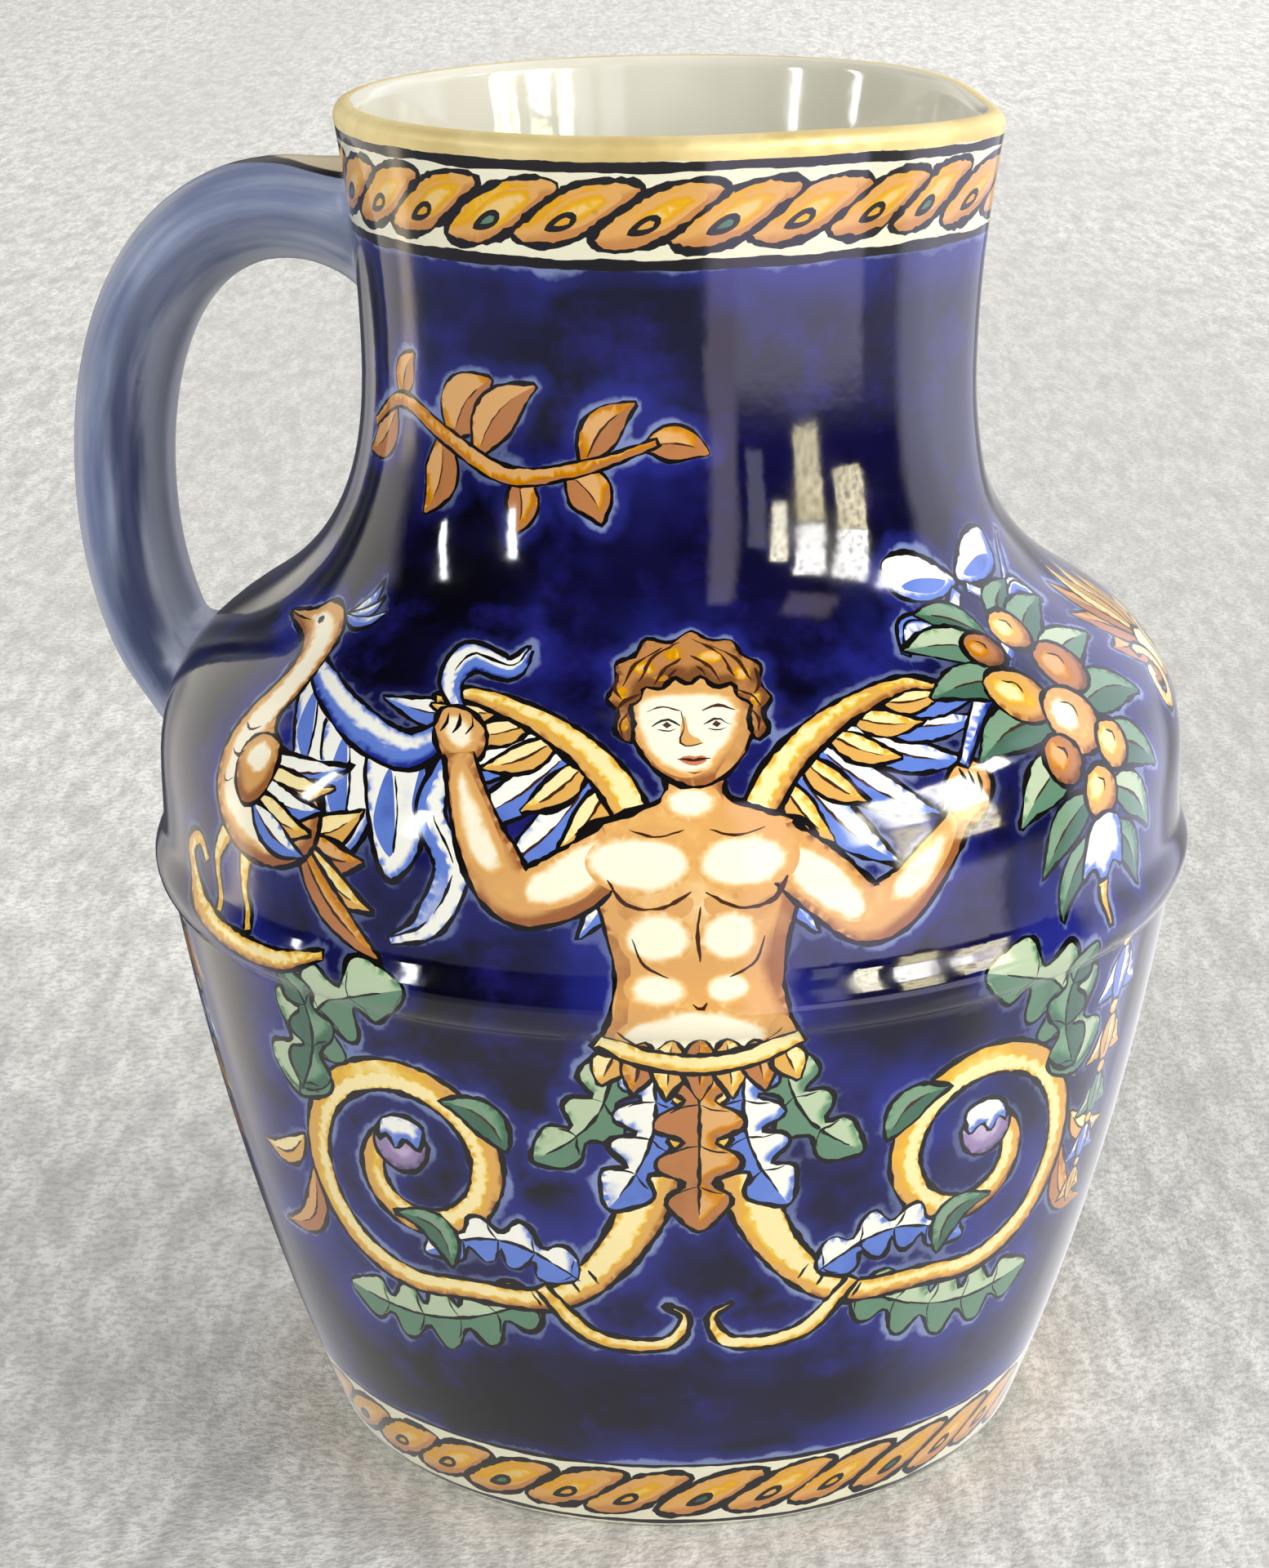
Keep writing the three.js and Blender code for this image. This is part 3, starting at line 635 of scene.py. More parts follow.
def bird(sheet):
    # a long-necked bird on a scroll
    for k in range(4):
        tip = (-11.2 - 0.8 * k, 1.6 - 3.8 * k)
        leaf(sheet, (-5.4, -1.4), tip, 2.8, "rust" if k % 2 else "ochre", 0.1)
    for leg in ([(0.8, -3.6), (1.4, -7.2), (0.4, -10.6)], [(3.2, -2.8), (5.4, -6.0), (4.8, -10.4)]):
        sheet.band(leg, [0.9, 0.5, 0.45], "ochre", 0.8, 0.42)
    sheet.shape([(11.4, 14.6), (8.0, 15.9), (6.4, 17.2), (4.2, 17.0), (2.4, 15.2), (1.6, 12.2),
                 (1.0, 9.0), (1.2, 6.4), (-0.8, 4.6), (-4.4, 3.4), (-7.2, 0.8), (-6.6, -2.6),
                 (-2.6, -4.6), (2.2, -4.2), (5.2, -1.4), (6.0, 2.4), (5.2, 6.2), (4.4, 9.4), (5.2, 12.2),
                 (7.4, 13.6)], "cream", 1.8, tone=0.36)
    sheet.glow([(1.8, 2.2), (1.7, 6.4), (1.5, 9.2), (2.1, 12.4), (3.4, 15.6), (5.8, 16.4), (8.0, 15.2),
                (6.0, 14.2), (4.5, 12.0), (3.8, 9.0), (4.6, 5.8), (5.3, 2.0), (4.4, -1.2), (1.4, -3.0),
                (-2.4, -3.4)], "cream", 0.8)
    for k in range(5):
        leaf(sheet, (2.0 - 0.4 * k, 3.6 - 0.9 * k), (-8.8 + 0.7 * k, 4.6 - 1.9 * k), 2.6,
             "ochre" if k % 2 else "white", 0.1)
    sheet.shape([(3.4, 3.4), (1.8, 5.0), (-0.6, 4.8), (-1.4, 2.6), (-0.4, 0.2), (1.6, -0.6), (3.2, 1.0)],
                "cream", 1.4, 0.46, 0.5)
    sheet.glow(oval(1.2, 3.2, 1.5, 1.3), "cream", 0.7)
    for k in range(3):
        leaf(sheet, (3.4, 16.6), (1.2 - 1.1 * k, 20.4 - 1.2 * k), 1.2, "white", 0.2, 0.36, False)
        sheet.stroke([(2.6 + 0.4 * k, 5.4 - 2.2 * k), (3.6 + 0.4 * k, 4.8 - 2.2 * k),
                      (4.5 + 0.2 * k, 5.2 - 2.2 * k)], 0.3, 1.0, "umber")
    sheet.wash([(5.6, 15.3), (6.0, 15.8), (6.5, 15.4), (6.0, 14.9)], "ink", 0.3)
    sheet.stroke([(11.0, 14.6), (9.0, 14.7), (7.4, 14.9)], 0.3, 1.4)
    sheet.band([(-8.2, -10.2), (-3.0, -11.8), (4.0, -11.6), (9.0, -9.8), (10.6, -6.8), (8.6, -5.2),
                (7.2, -6.8)], [0.4, 0.9, 1.1, 1.1, 1.0, 0.8, 0.5], "ochre", 0.9, shade=0.5)


def fruitDrop(sheet):
    # a bow with fruit and leaves hung below it
    for way in (-1, 1):
        sheet.shape([(0, 14.6), (way * 3.4, 17.6), (way * 6.8, 17.4), (way * 6.6, 14.6),
                     (way * 3.2, 13.6)], "white", 1.2, shade=[[(way * 1.2, 14.8), (way * 4.0, 15.6),
                     (way * 6.0, 15.2), (way * 3.4, 14.2)]])
        ribbon(sheet, [(way * 0.6, 13.8), (way * 4.0, 11.6), (way * 7.4, 12.2), (way * 9.6, 9.8)],
               [0.5, 0.8, 0.8, 0.3])
    for k, (y, reach, rise, wide) in enumerate(((9.5, 6.4, 3.4, 3.2), (7.0, 9.6, 3.2, 3.8),
            (4.0, 11.2, 1.4, 4.0), (0.8, 11.4, -1.4, 4.0), (-2.4, 9.8, -3.8, 3.8), (-5.4, 7.6, -5.2, 3.4),
            (-8.4, 5.4, -6.2, 3.0))):
        for way in (-1, 1):
            leaf(sheet, (way * 1.0, y), (way * reach, y + rise), wide,
                 "moss" if (k + way) % 3 else "green", 0.12 * way)
    for x, y, size, colours in ((-2.6, 8.4, 1.9, "rust"), (1.8, 9.2, 2.1, "ochre"),
            (-3.6, 3.8, 2.8, "ochre"), (3.4, 4.6, 2.7, "rust"), (0, 0.4, 3.0, "cream"),
            (-3.4, -2.2, 2.1, "rust"), (3.2, -2.6, 2.1, "ochre"), (0, -5.6, 2.2, "ochre")):
        sheet.shape(disc(x, y, size), colours, 1.4, tone=0.36)
        sheet.glow(disc(x - size * 0.22, y + size * 0.2, size * 0.55), colours, size * 0.35)
        sheet.stroke([(x - size * 0.1, y + size * 0.55), (x + size * 0.25, y + size * 0.35),
                      (x + size * 0.2, y)], 0.32, 0.8)
    sheet.shape([(-2.2, -8.2), (0, -7.2), (2.2, -8.2), (2.8, -12.0), (1.4, -11.4), (0, -13.0),
                 (-1.4, -11.4), (-2.8, -12.0)], "white", 1.0)
    sheet.band([(0, -12.6), (0, -16.2)], [0.7, 0.25], "ochre", 0.8)


def sprig(sheet):
    # a light branch of rust leaves
    for base, tip, wide in (((-9.5, 1.6), (-7.6, 5.6), 2.6), ((-10.5, 1.0), (-15.4, -3.4), 3.2),
            ((-4.6, -0.2), (-6.0, -6.6), 3.6), ((-3.4, -0.6), (0.6, 4.6), 4.6),
            ((-1.0, -1.6), (4.4, 4.4), 3.6), ((2.6, -2.6), (3.0, -7.0), 2.8),
            ((6.6, -2.0), (9.8, -5.8), 3.4), ((8.0, -1.6), (12.0, 3.4), 3.0),
            ((12.4, 0), (17.4, -0.6), 2.8)):
        leaf(sheet, base, tip, wide, "rust", 0.12, 0.34)
    stem = [(-14.5, -1.0), (-9.5, 1.6), (-4.0, -0.4), (2.0, -2.6), (8.0, -1.6), (13.5, 0.4)]
    sheet.band(stem, [0.35, 0.6, 0.7, 0.7, 0.55, 0.3], "rust", 0.8, 0.34)


def palmette(sheet, colours=("ochre", "rust")):
    for k, turn in enumerate((-8, 188, 22, 158, 48, 132, 70, 110, 90)):
        way = np.array([math.cos(math.radians(turn)), math.sin(math.radians(turn))])
        leaf(sheet, way * 1.5, way * (7.0 + 4.4 * math.sin(math.radians(abs(turn)))), 3.4, colours[k % 2])
    sheet.shape([(-3.4, 0.4), (0, 2.2), (3.4, 0.4), (2.4, -1.8), (0, -2.8), (-2.4, -1.8)], "cream", 1.4)
    for way in (-1, 1):
        sheet.band(spiral((way * 4.6, -1.6), 3.2, 0.9, 1.1, 90 - 10 * way, way),
                   [0.5, 0.8, 0.8, 0.7, 0.6], "ochre", 0.8)


def huskChain(sheet, length, colours=("white", "ochre", "green")):
    # bell flowers in a row, each smaller than the one above
    y, size, k = 0.0, 3.6, 0
    while y > -length:
        for way in (-1, 1):
            tip = (way * size, y - size * 1.3)
            leaf(sheet, (0, y), tip, size * 0.8, colours[k % 3], -0.2 * way, 0.42)
        leaf(sheet, (0, y), (0, y - size * 1.75), size * 0.75, colours[k % 3], 0, 0.42)
        sheet.shape(disc(0, y + 0.1, 0.24 * size), "ochre", 0.8, 0.36)
        y, size, k = y - size * 1.7, size * 0.88, k + 1


def drawPanels():
    front, back = -73, 107
    for mirror in (-1, 1):
        rinceau(Sheet(front, 67.5, mirror=mirror))
        rinceau(Sheet(back, 62.5, size=0.9, mirror=mirror))
        wing(Sheet(front, 67.5, mirror=mirror))
        acanthus(Sheet(back, 34, mirror=mirror), (1.5, -6), (8.0, 12.5), 6.0, "green", 4, -0.15)
        sprig(Sheet(back + 38 * mirror, 66.5, mirror=-mirror))
    middle = Sheet(front, 67.5)
    scarf(middle)
    leafSkirt(middle)
    figure(middle)
    leafSkirt(middle)
    figureHead(middle)
    bird(Sheet(-124.5, 64.0, mirror=-1))
    ribbon(middle, [(20.8, 1.0), (23.4, 5.4), (27.0, 8.4), (30.4, 12.2), (33.0, 18.0)],
           [0.5, 0.9, 1.0, 0.8, 0.3])
    fruitDrop(Sheet(-24, 69.0))
    huskChain(Sheet(-17, 49.5), 22)
    huskChain(Sheet(-147, 49.0), 20, ("rust", "white", "ochre"))
    sprig(Sheet(-109, 96.5))
    palmette(Sheet(8, 69.0))
    acanthus(Sheet(back, 34), (0, -7), (0, 15), 7.0, "ochre", 4)
    palmette(Sheet(back, 60.5), ("green", "ochre"))
    sprig(Sheet(70, 96.5, mirror=-1))
    huskChain(Sheet(180, 48.0), 22)
    huskChain(Sheet(34, 49.5), 22, ("ochre", "white", "rust"))


bandBorders()
for count, height, size, across in bands["lozenges"]:
    guilloche(count, height, size, across)
drawPanels()


def handlePath():
    h = handle
    bodyRadius, neckRadius = wall["bodyRadius"], wall["neckRadius"]
    standOff, backRise = h["reach"] - bodyRadius, h["widestHeight"] - h["footHeight"]
    arch = cubicCurve((neckRadius - h["rootDepth"], h["topHeight"]),
                      (neckRadius + (h["reach"] - neckRadius) * 0.54, h["topHeight"] + h["archRise"]),
                      (h["reach"], h["widestHeight"] + (h["topHeight"] - h["widestHeight"]) * 0.85),
                      (h["reach"], h["widestHeight"]), 160)
    back = cubicCurve((h["reach"], h["widestHeight"]), (h["reach"], h["footHeight"] + backRise * 0.65),
                      (bodyRadius + standOff * 0.68, h["footHeight"] + backRise * 0.3),
                      (bodyRadius - h["rootDepth"], h["footHeight"]), 160)
    return spaced(joined([arch, back]), fine["profile"])


def wallCrossing(path):
    # where the handle's middle line comes out of the wall at its top and goes back in at its foot
    outside = path[:, 0] > radiusAt(upAt(path[:, 1]))
    first = int(np.argmax(outside))
    last = len(path) - 1 - int(np.argmax(outside[::-1]))
    return first, last


handleLine = handlePath()
topCrossing, lowCrossing = wallCrossing(handleLine)


def rootRing(crossing, sizes, upWay, grow=1.0):
    # the oval on the wall sheet where a root of the handle begins
    turn = np.linspace(0, 2 * math.pi, handle["sides"], endpoint=False)
    up = upAt(handleLine[crossing, 1]) + upWay * sizes[1] * grow * np.cos(turn)
    return np.stack([(-math.pi - sizes[0] * grow * np.sin(turn) / radiusAt(up)) * flatRadius, up], 1)


rootRings = [rootRing(topCrossing, handle["topRoot"], 1), rootRing(lowCrossing, handle["lowRoot"], -1)]
# each root gets a ring of slate shaded as if lit from above: painted shade darkens its lower edge
for crossing, sizes, upWay in ((topCrossing, handle["topRoot"], 1), (lowCrossing, handle["lowRoot"], -1)):
    layMark(rootRing(crossing, sizes, upWay, 1.16), "slate", 2.0, 0.5, (0.0, 1.0))
print("drawing done:", len(painting), "brush marks")


def inside(points, outline):
    # which points an outline goes round, counted by its turns
    found = np.zeros(len(points), bool)
    near = np.nonzero(((points >= outline.min(0)) & (points <= outline.max(0))).all(1))[0]
    a, b = outline, np.roll(outline, -1, axis=0)
    for part in np.array_split(near, max(1, len(near) * len(a) // 4_000_000)):
        x, y = points[part, 0][:, None], points[part, 1][:, None]
        side = (b[:, 0] - a[:, 0]) * (y - a[:, 1]) - (x - a[:, 0]) * (b[:, 1] - a[:, 1])
        turns = ((a[:, 1] <= y) & (b[:, 1] > y) & (side > 0)).sum(1)
        turns = turns - ((a[:, 1] > y) & (b[:, 1] <= y) & (side < 0)).sum(1)
        found[part] = turns != 0
    return found


def wrapPainting():
    # marks that cross the cut in the sheet are laid on at both of its ends
    left, right = (seamAngle - 2 * math.pi) * flatRadius, seamAngle * flatRadius
    whole = right - left
    marks = []
    for mark in painting:
        allRound = np.ptp(mark["outline"][:, 0]) > whole
        for shift in (0,) if allRound else (-whole, 0, whole):
            outline = mark["outline"] + (shift, 0)
            if outline[:, 0].max() > left + 0.01 and outline[:, 0].min() < right - 0.01:
                marks.append({**mark, "outline": outline})
    return marks, left, right


def outlineEdges(marks, left, right):
    # the parts of all outlines that no later mark covers
    starts, ends, owners = [], [], []
    for i, mark in enumerate(marks):
        line = mark["outline"]
        starts.append(line)
        ends.append(np.roll(line, -1, axis=0))
        owners.append(np.full(len(line), i))
    starts, ends, owners = np.concatenate(starts), np.concatenate(ends), np.concatenate(owners)
    middles = (starts + ends) / 2
    seen = (np.maximum(starts[:, 0], ends[:, 0]) > left) & (np.minimum(starts[:, 0], ends[:, 0]) < right)
    seen &= (middles[:, 1] > 0.05) & (middles[:, 1] < wallLength - 0.05)
    for i, mark in enumerate(marks):
        early = np.nonzero(seen & (owners < i))[0]
        hidden = inside(middles[early], mark["outline"])
        seen[early[hidden]] = False
    return starts[seen], ends[seen]


def cutEdges(starts, ends, left, right):
    # outline edges end at the cut, where both sides of the sheet get the same heights
    starts, ends, heights = starts.copy(), ends.copy(), []
    for border, way in ((left, -1), (right, 1)):
        for one, other in ((starts, ends), (ends, starts)):
            beyond = ((one[:, 0] - border) * way > -1e-6) & (np.abs(one[:, 0] - other[:, 0]) > 1e-6)
            share = (border - one[beyond, 0]) / (other[beyond, 0] - one[beyond, 0])
            up = np.round(one[beyond, 1] + share * (other[beyond, 1] - one[beyond, 1]), 4)
            one[beyond] = np.stack([np.full(len(up), border), up], 1)
            heights.append(up)
    return starts, ends, np.unique(np.concatenate(heights))


def paintedSheet():
    # the flat sheet of triangles whose edges follow every brush mark
    marks, left, right = wrapPainting()
    starts, ends = outlineEdges(marks, left, right)
    starts, ends, cutHeights = cutEdges(starts, ends, left, right)
    print("outline edges:", len(starts))
    columns = np.linspace(left, right, fine["columns"] + 1)
    rows = np.arange(0, wallLength, fine["row"])
    turnsFrom, turnsTo = upAt(wall["creaseHeight"] - 1.8), upAt(wall["uprightStart"] + 1)
    sharp = ((0, upAt(wall["footEdge"]), 0.3), (turnsFrom, turnsTo, 0.32),
             (upAt(wall["lipStart"] - 1), wallLength, 0.35))
    for low, high, step in sharp:      # rows are closer where the wall turns sharply
        rows = np.concatenate([rows[(rows <= low) | (rows >= high)], np.arange(low, high, step)])
    rows = np.unique(np.round(np.concatenate([rows, [0, wallLength]]), 4))
    rows = rows[np.concatenate([[True], np.diff(rows) > fine["rowClear"]])]
    rows[-1] = wallLength
    grid = np.stack(np.meshgrid(columns[1:-1], rows), -1).reshape(-1, 2)
    clear = [up for up in rows if np.abs(cutHeights - up).min() > fine["cutClear"]]
    cut = np.sort(np.concatenate([clear, cutHeights]))
    sides = [np.stack([np.full(len(cut), border), cut], 1) for border in (left, right)]
    tree = KDTree(len(starts))
    for i, (x, y) in enumerate(starts):
        tree.insert((x * radiusAt(y) / flatRadius, y, 0), i)
    tree.balance()

    def gapTo(points):
        # real millimetres to the nearest outline, good for short distances
        squeeze = radiusAt(points[:, 1]) / flatRadius
        near = [tree.find((x * k, y, 0)) for (x, y), k in zip(points, squeeze)]
        at = starts[[n[1] for n in near]]
        return np.hypot((points[:, 0] - at[:, 0]) * squeeze, points[:, 1] - at[:, 1])

    dots = []
    for k, up in enumerate(np.arange(0.4, wallLength - 0.3, fine["dot"] * 0.87)):
        step = fine["dot"] * flatRadius / radiusAt(up)
        x = np.arange(left + 0.3 + (k % 2) * step / 2, right - 0.3, step)
        dots.append(np.stack([x, np.full(len(x), up)], 1))
    dots = np.concatenate(dots)
    painted = np.zeros(len(dots), bool)
    for mark in marks:
        if mark["depth"]:
            painted |= inside(dots, mark["outline"])
    gaps = gapTo(dots)
    keep = (gaps > fine["dotClear"]) & (painted | (gaps < fine["dotReach"]))
    dots = dots[keep]
    edge = (grid[:, 1] < 0.01) | (grid[:, 1] > wallLength - 0.01)
    grid = np.concatenate([grid[edge | (gapTo(grid) > fine["gridClear"])], *sides])
    loose = np.concatenate([grid, dots])
    for ring in rootRings:
        centre = ring.mean(0)
        loose = loose[~inside(loose, centre + (ring - centre) * 1.07)]
    points = [Vector(p) for p in loose]
    edges = []
    place = {tuple(np.round(p, 5)): i for i, p in enumerate(loose)}

    def indexOf(p):
        key = tuple(np.round(p, 5))
        if key not in place:
            place[key] = len(points)
            points.append(Vector(p))
        return place[key]

    for a, b in zip(starts, ends):
        edges.append((indexOf(a), indexOf(b)))
    for line in (grid[grid[:, 1] < 0.01], grid[grid[:, 1] > wallLength - 0.01]):
        line = line[np.argsort(line[:, 0])]
        edges += [(indexOf(a), indexOf(b)) for a, b in zip(line[:-1], line[1:])]
    for line in sides:
        edges += [(indexOf(a), indexOf(b)) for a, b in zip(line[:-1], line[1:])]
    for ring in rootRings:
        edges += [(indexOf(a), indexOf(b)) for a, b in zip(ring, np.roll(ring, -1, axis=0))]
    made = delaunay_2d_cdt(points, [e for e in edges if e[0] != e[1]], [], 0, fine["weld"])
    flat = np.array([tuple(v) for v in made[0]])
    faces = np.array([f for f in made[2] if len(f) == 3])
    middles = flat[faces].mean(1)
    keep = (middles[:, 0] > left) & (middles[:, 0] < right)
    for ring in rootRings:
        keep &= ~inside(middles, ring)
    corners = flat[faces]
    a, b = corners[:, 1] - corners[:, 0], corners[:, 2] - corners[:, 0]
    area = a[:, 0] * b[:, 1] - a[:, 1] * b[:, 0]
    keep &= np.abs(area) > 1e-6
    faces, area = faces[keep], area[keep]
    faces[area < 0] = faces[area < 0][:, ::-1]
    middles = flat[faces].mean(1)
    owner = np.full(len(faces), -1)
    for i, mark in enumerate(marks):
        owner[inside(middles, mark["outline"])] = i
    used = np.unique(faces)
    renumber = np.full(len(flat), -1)
    renumber[used] = np.arange(len(used))
    flat = flat[used]
    return flat, renumber[faces], owner, marks, gapTo(flat)


def addObject(name, data):
    made = bpy.data.objects.new(name, data)
    bpy.context.scene.collection.objects.link(made)
    return made


def meshPiece(name, points, edges, faces):
    mesh = bpy.data.meshes.new(name)
    mesh.from_pydata(points, edges, faces)
    return addObject(name, mesh)


def store(piece, name, kind, domain, field, values):
    # values for the materials to read, held on the mesh
    stored = piece.data.attributes.new(name, kind, domain)
    stored.data.foreach_set(field, values.astype(np.float32).ravel())


def linear(colour):
    colour = np.asarray(colour, float)
    return np.where(colour <= 0.04045, colour / 12.92, ((colour + 0.055) / 1.055) ** 2.4)


def tonesOf(mark, points):
    # how far into shade each point of a painted form is: its rim away from the light is darkest
    if not mark["depth"]:
        return np.full(len(points), np.clip(mark["tone"], 0, 1))
    outline = spaced(np.concatenate([mark["outline"], mark["outline"][:1]]), 0.7)
    squeeze = radiusAt(points[:, 1])[:, None] / flatRadius
    shade = np.empty(len(points))
    for part in np.array_split(np.arange(len(points)), max(1, len(points) * len(outline) // 3_000_000)):
        dx = (outline[:, 0] - points[part, 0][:, None]) * squeeze[part]
        dy = outline[:, 1] - points[part, 1][:, None]
        gap = np.sqrt(dx * dx + dy * dy) + 0.05
        weight = gap ** -4
        total = weight.sum(1)
        near = 1 - np.clip(gap.min(1) / mark["depth"], 0, 1)
        if mark["light"] is None:
            shade[part] = near * 0.5
            continue
        facing = ((dx * mark["light"][0] + dy * mark["light"][1]) / gap * weight).sum(1) / total
        shade[part] = near * (0.42 - 0.58 * facing)
    return np.clip(shade + mark["tone"], 0, 1)


def makeWall():
    flat, faces, owner, marks, gaps = paintedSheet()
    angle, up = flat[:, 0] / flatRadius, flat[:, 1]
    piece = meshPiece("paintedWall", (roundPlace(angle, up) * mm).tolist(), [], faces.tolist())
    store(piece, "onWall", "FLOAT_VECTOR", "POINT", "vector", np.stack([angle, up, np.ones(len(up))], 1))
    store(piece, "gap", "FLOAT", "POINT", "value", gaps)
    tones = np.zeros(faces.shape)
    colours = np.zeros((3, len(faces), 3, 4))
    slots = np.zeros(len(faces), np.int32)
    for i in np.unique(owner[owner >= 0]):
        mine = np.nonzero(owner == i)[0]
        mark = marks[i]
        slots[mine] = mark["colours"] == "gold"
        tones[mine] = tonesOf(mark, flat[faces[mine]].reshape(-1, 2)).reshape(-1, 3)
        for k in range(3):
            colours[k][mine] = (*linear(paints[mark["colours"]][k]), 1)
    for name, values in zip(("paintLight", "paintMiddle", "paintDark"), colours):
        store(piece, name, "FLOAT_COLOR", "CORNER", "color", values)
    store(piece, "tone", "FLOAT", "CORNER", "value", tones)
    store(piece, "ground", "FLOAT", "FACE", "value", owner < 0)
    return piece, slots


def onlySelect(piece):
    if bpy.context.mode != "OBJECT":
        bpy.ops.object.mode_set(mode="OBJECT")
    bpy.ops.object.select_all(action="DESELECT")
    piece.select_set(True)
    bpy.context.view_layer.objects.active = piece


def spunPiece(name, outline):
    # a profile of radius and height, spun around the jug's axis
    edges = [(i, i + 1) for i in range(len(outline) - 1)]
    piece = meshPiece(name, [(r * mm, 0, z * mm) for r, z in outline], edges, [])
    onlySelect(piece)
    bpy.ops.object.mode_set(mode="EDIT")
    bpy.ops.mesh.select_all(action="SELECT")
    bpy.ops.mesh.spin(steps=fine["columns"], angle=2 * math.pi, center=(0, 0, 0), axis=(0, 0, 1))
    bpy.ops.mesh.select_all(action="SELECT")
    bpy.ops.mesh.remove_doubles(threshold=fine["spinWeld"] * mm)
    bpy.ops.object.mode_set(mode="OBJECT")
    return piece


def makeInside():
    w = wall
    turn = np.linspace(0, math.pi, 11)
    lip = np.stack([w["rimRadius"] - w["lipWall"] / 2 + np.cos(turn) * w["lipWall"] / 2,
                    w["lipStart"] + np.sin(turn) * (w["jugHeight"] - w["lipStart"])], 1)
    _, lean = lowerBulge()
    floorEdge = w["footRadius"] - w["bodyWall"] + lean * w["floorThickness"]
    cornerTop = w["floorThickness"] + w["floorCorner"]
    upwards = joined([
        quadCurve((floorEdge - w["floorCorner"], w["floorThickness"]), (floorEdge, w["floorThickness"]),
                  (floorEdge + lean * w["floorCorner"], cornerTop), 20),
        lowerWall(w["bodyWall"], cornerTop),
        np.array([[w["creaseRadius"] - w["bodyWall"], w["creaseHeight"]],
                  [w["bodyRadius"] - w["bodyWall"], w["shoulderStart"]]]),
        *shoulderAndNeck(w["bodyWall"], w["neckWall"]), collar(w["neckWall"], w["lipWall"])])
    upwards = spaced(upwards, 2.6)
    floor = np.stack([np.linspace(0, upwards[0, 0], 5)[:-1], np.full(4, w["floorThickness"])], 1)
    inner = np.concatenate([floor, upwards])[::-1]
    return spunPiece("insideWall", np.concatenate([lip, inner[1:]]))


def makeUnderside():
    # a flat foot ring round a shallow recess
    w = wall
    edge = w["footRadius"] - w["footEdge"]
    ring = edge - w["footRingWidth"]
    outline = [(edge, 0), (edge - 0.8, 0), (ring + 0.4, 0), (ring, 0.08),
               (ring - 0.5, w["footRecess"] * 0.8),
               (ring - 1.2, w["footRecess"]), (ring * 0.6, w["footRecess"]),
               (ring * 0.25, w["footRecess"]), (0, w["footRecess"])]
    return spunPiece("underside", outline)


def makeHandle():
    # rings along the handle, which at both ends run out over the wall in a fillet
    h = handle
    sides = h["sides"]
    turn = np.linspace(0, 2 * math.pi, sides, endpoint=False)
    path = handleLine
    tangents = np.gradient(path, axis=0)
    tangents /= np.hypot(*tangents.T)[:, None]

    def ringAt(i):
        radial, height = path[i]
        along = tangents[i]
        outwards = np.array([-along[1], along[0]])      # away from the loop's middle
        across = h["width"] / 2 * np.sin(turn)
        out = h["thickness"] / 2 * np.cos(turn)
        return np.stack([-(radial + outwards[0] * out), across, height + outwards[1] * out], 1)

    def fillet(flatRing, crossing, way):
        angle, up = flatRing[:, 0] / flatRadius, flatRing[:, 1]
        start = roundPlace(angle, up)
        centre = flatRing.mean(0)
        inner = centre + (flatRing - centre) * 0.9
        heading = roundPlace(inner[:, 0] / flatRadius, inner[:, 1]) - start
        heading /= np.linalg.norm(heading, axis=1)[:, None]
        i = crossing + way * int(h["filletLength"] / fine["profile"])
        end = ringAt(i)
        away = np.array([-tangents[i, 0], 0, tangents[i, 1]]) * way
        rings = []
        reach = np.linalg.norm(end - start, axis=1)[:, None]
        for t in np.linspace(0, 1, h["filletRings"] + 1)[:-1]:      # a Hermite curve from wall to handle
            a, b = 2 * t ** 3 - 3 * t ** 2 + 1, t ** 3 - 2 * t ** 2 + t
            c, d = -2 * t ** 3 + 3 * t ** 2, t ** 3 - t ** 2
            rings.append(a * start + b * heading * reach * h["filletFlare"]
                         + c * end + d * away * reach * h["filletPull"])
        return rings, i

    top, first = fillet(rootRings[0], topCrossing, 1)
    low, last = fillet(rootRings[1], lowCrossing, -1)
    middle = [ringAt(i) for i in np.linspace(first, last, h["rings"]).astype(int)]
    rings = np.array(top + middle + low[::-1])
    count = len(rings)
    faces = [(j * sides + k, j * sides + (k + 1) % sides, (j + 1) * sides + (k + 1) % sides,
              (j + 1) * sides + k)
             for j in range(count - 1) for k in range(sides)]
    piece = meshPiece("handle", (rings.reshape(-1, 3) * mm).tolist(), [], faces)
    along = np.concatenate([[0], np.cumsum(np.linalg.norm(np.diff(rings.mean(1), axis=0), axis=1))])
    brush = np.stack([np.tile(np.cos(turn), count), np.tile(np.sin(turn), count),
                      np.repeat(along, sides)], 1)
    store(piece, "handleBrush", "FLOAT_VECTOR", "POINT", "vector", brush)
    return piece


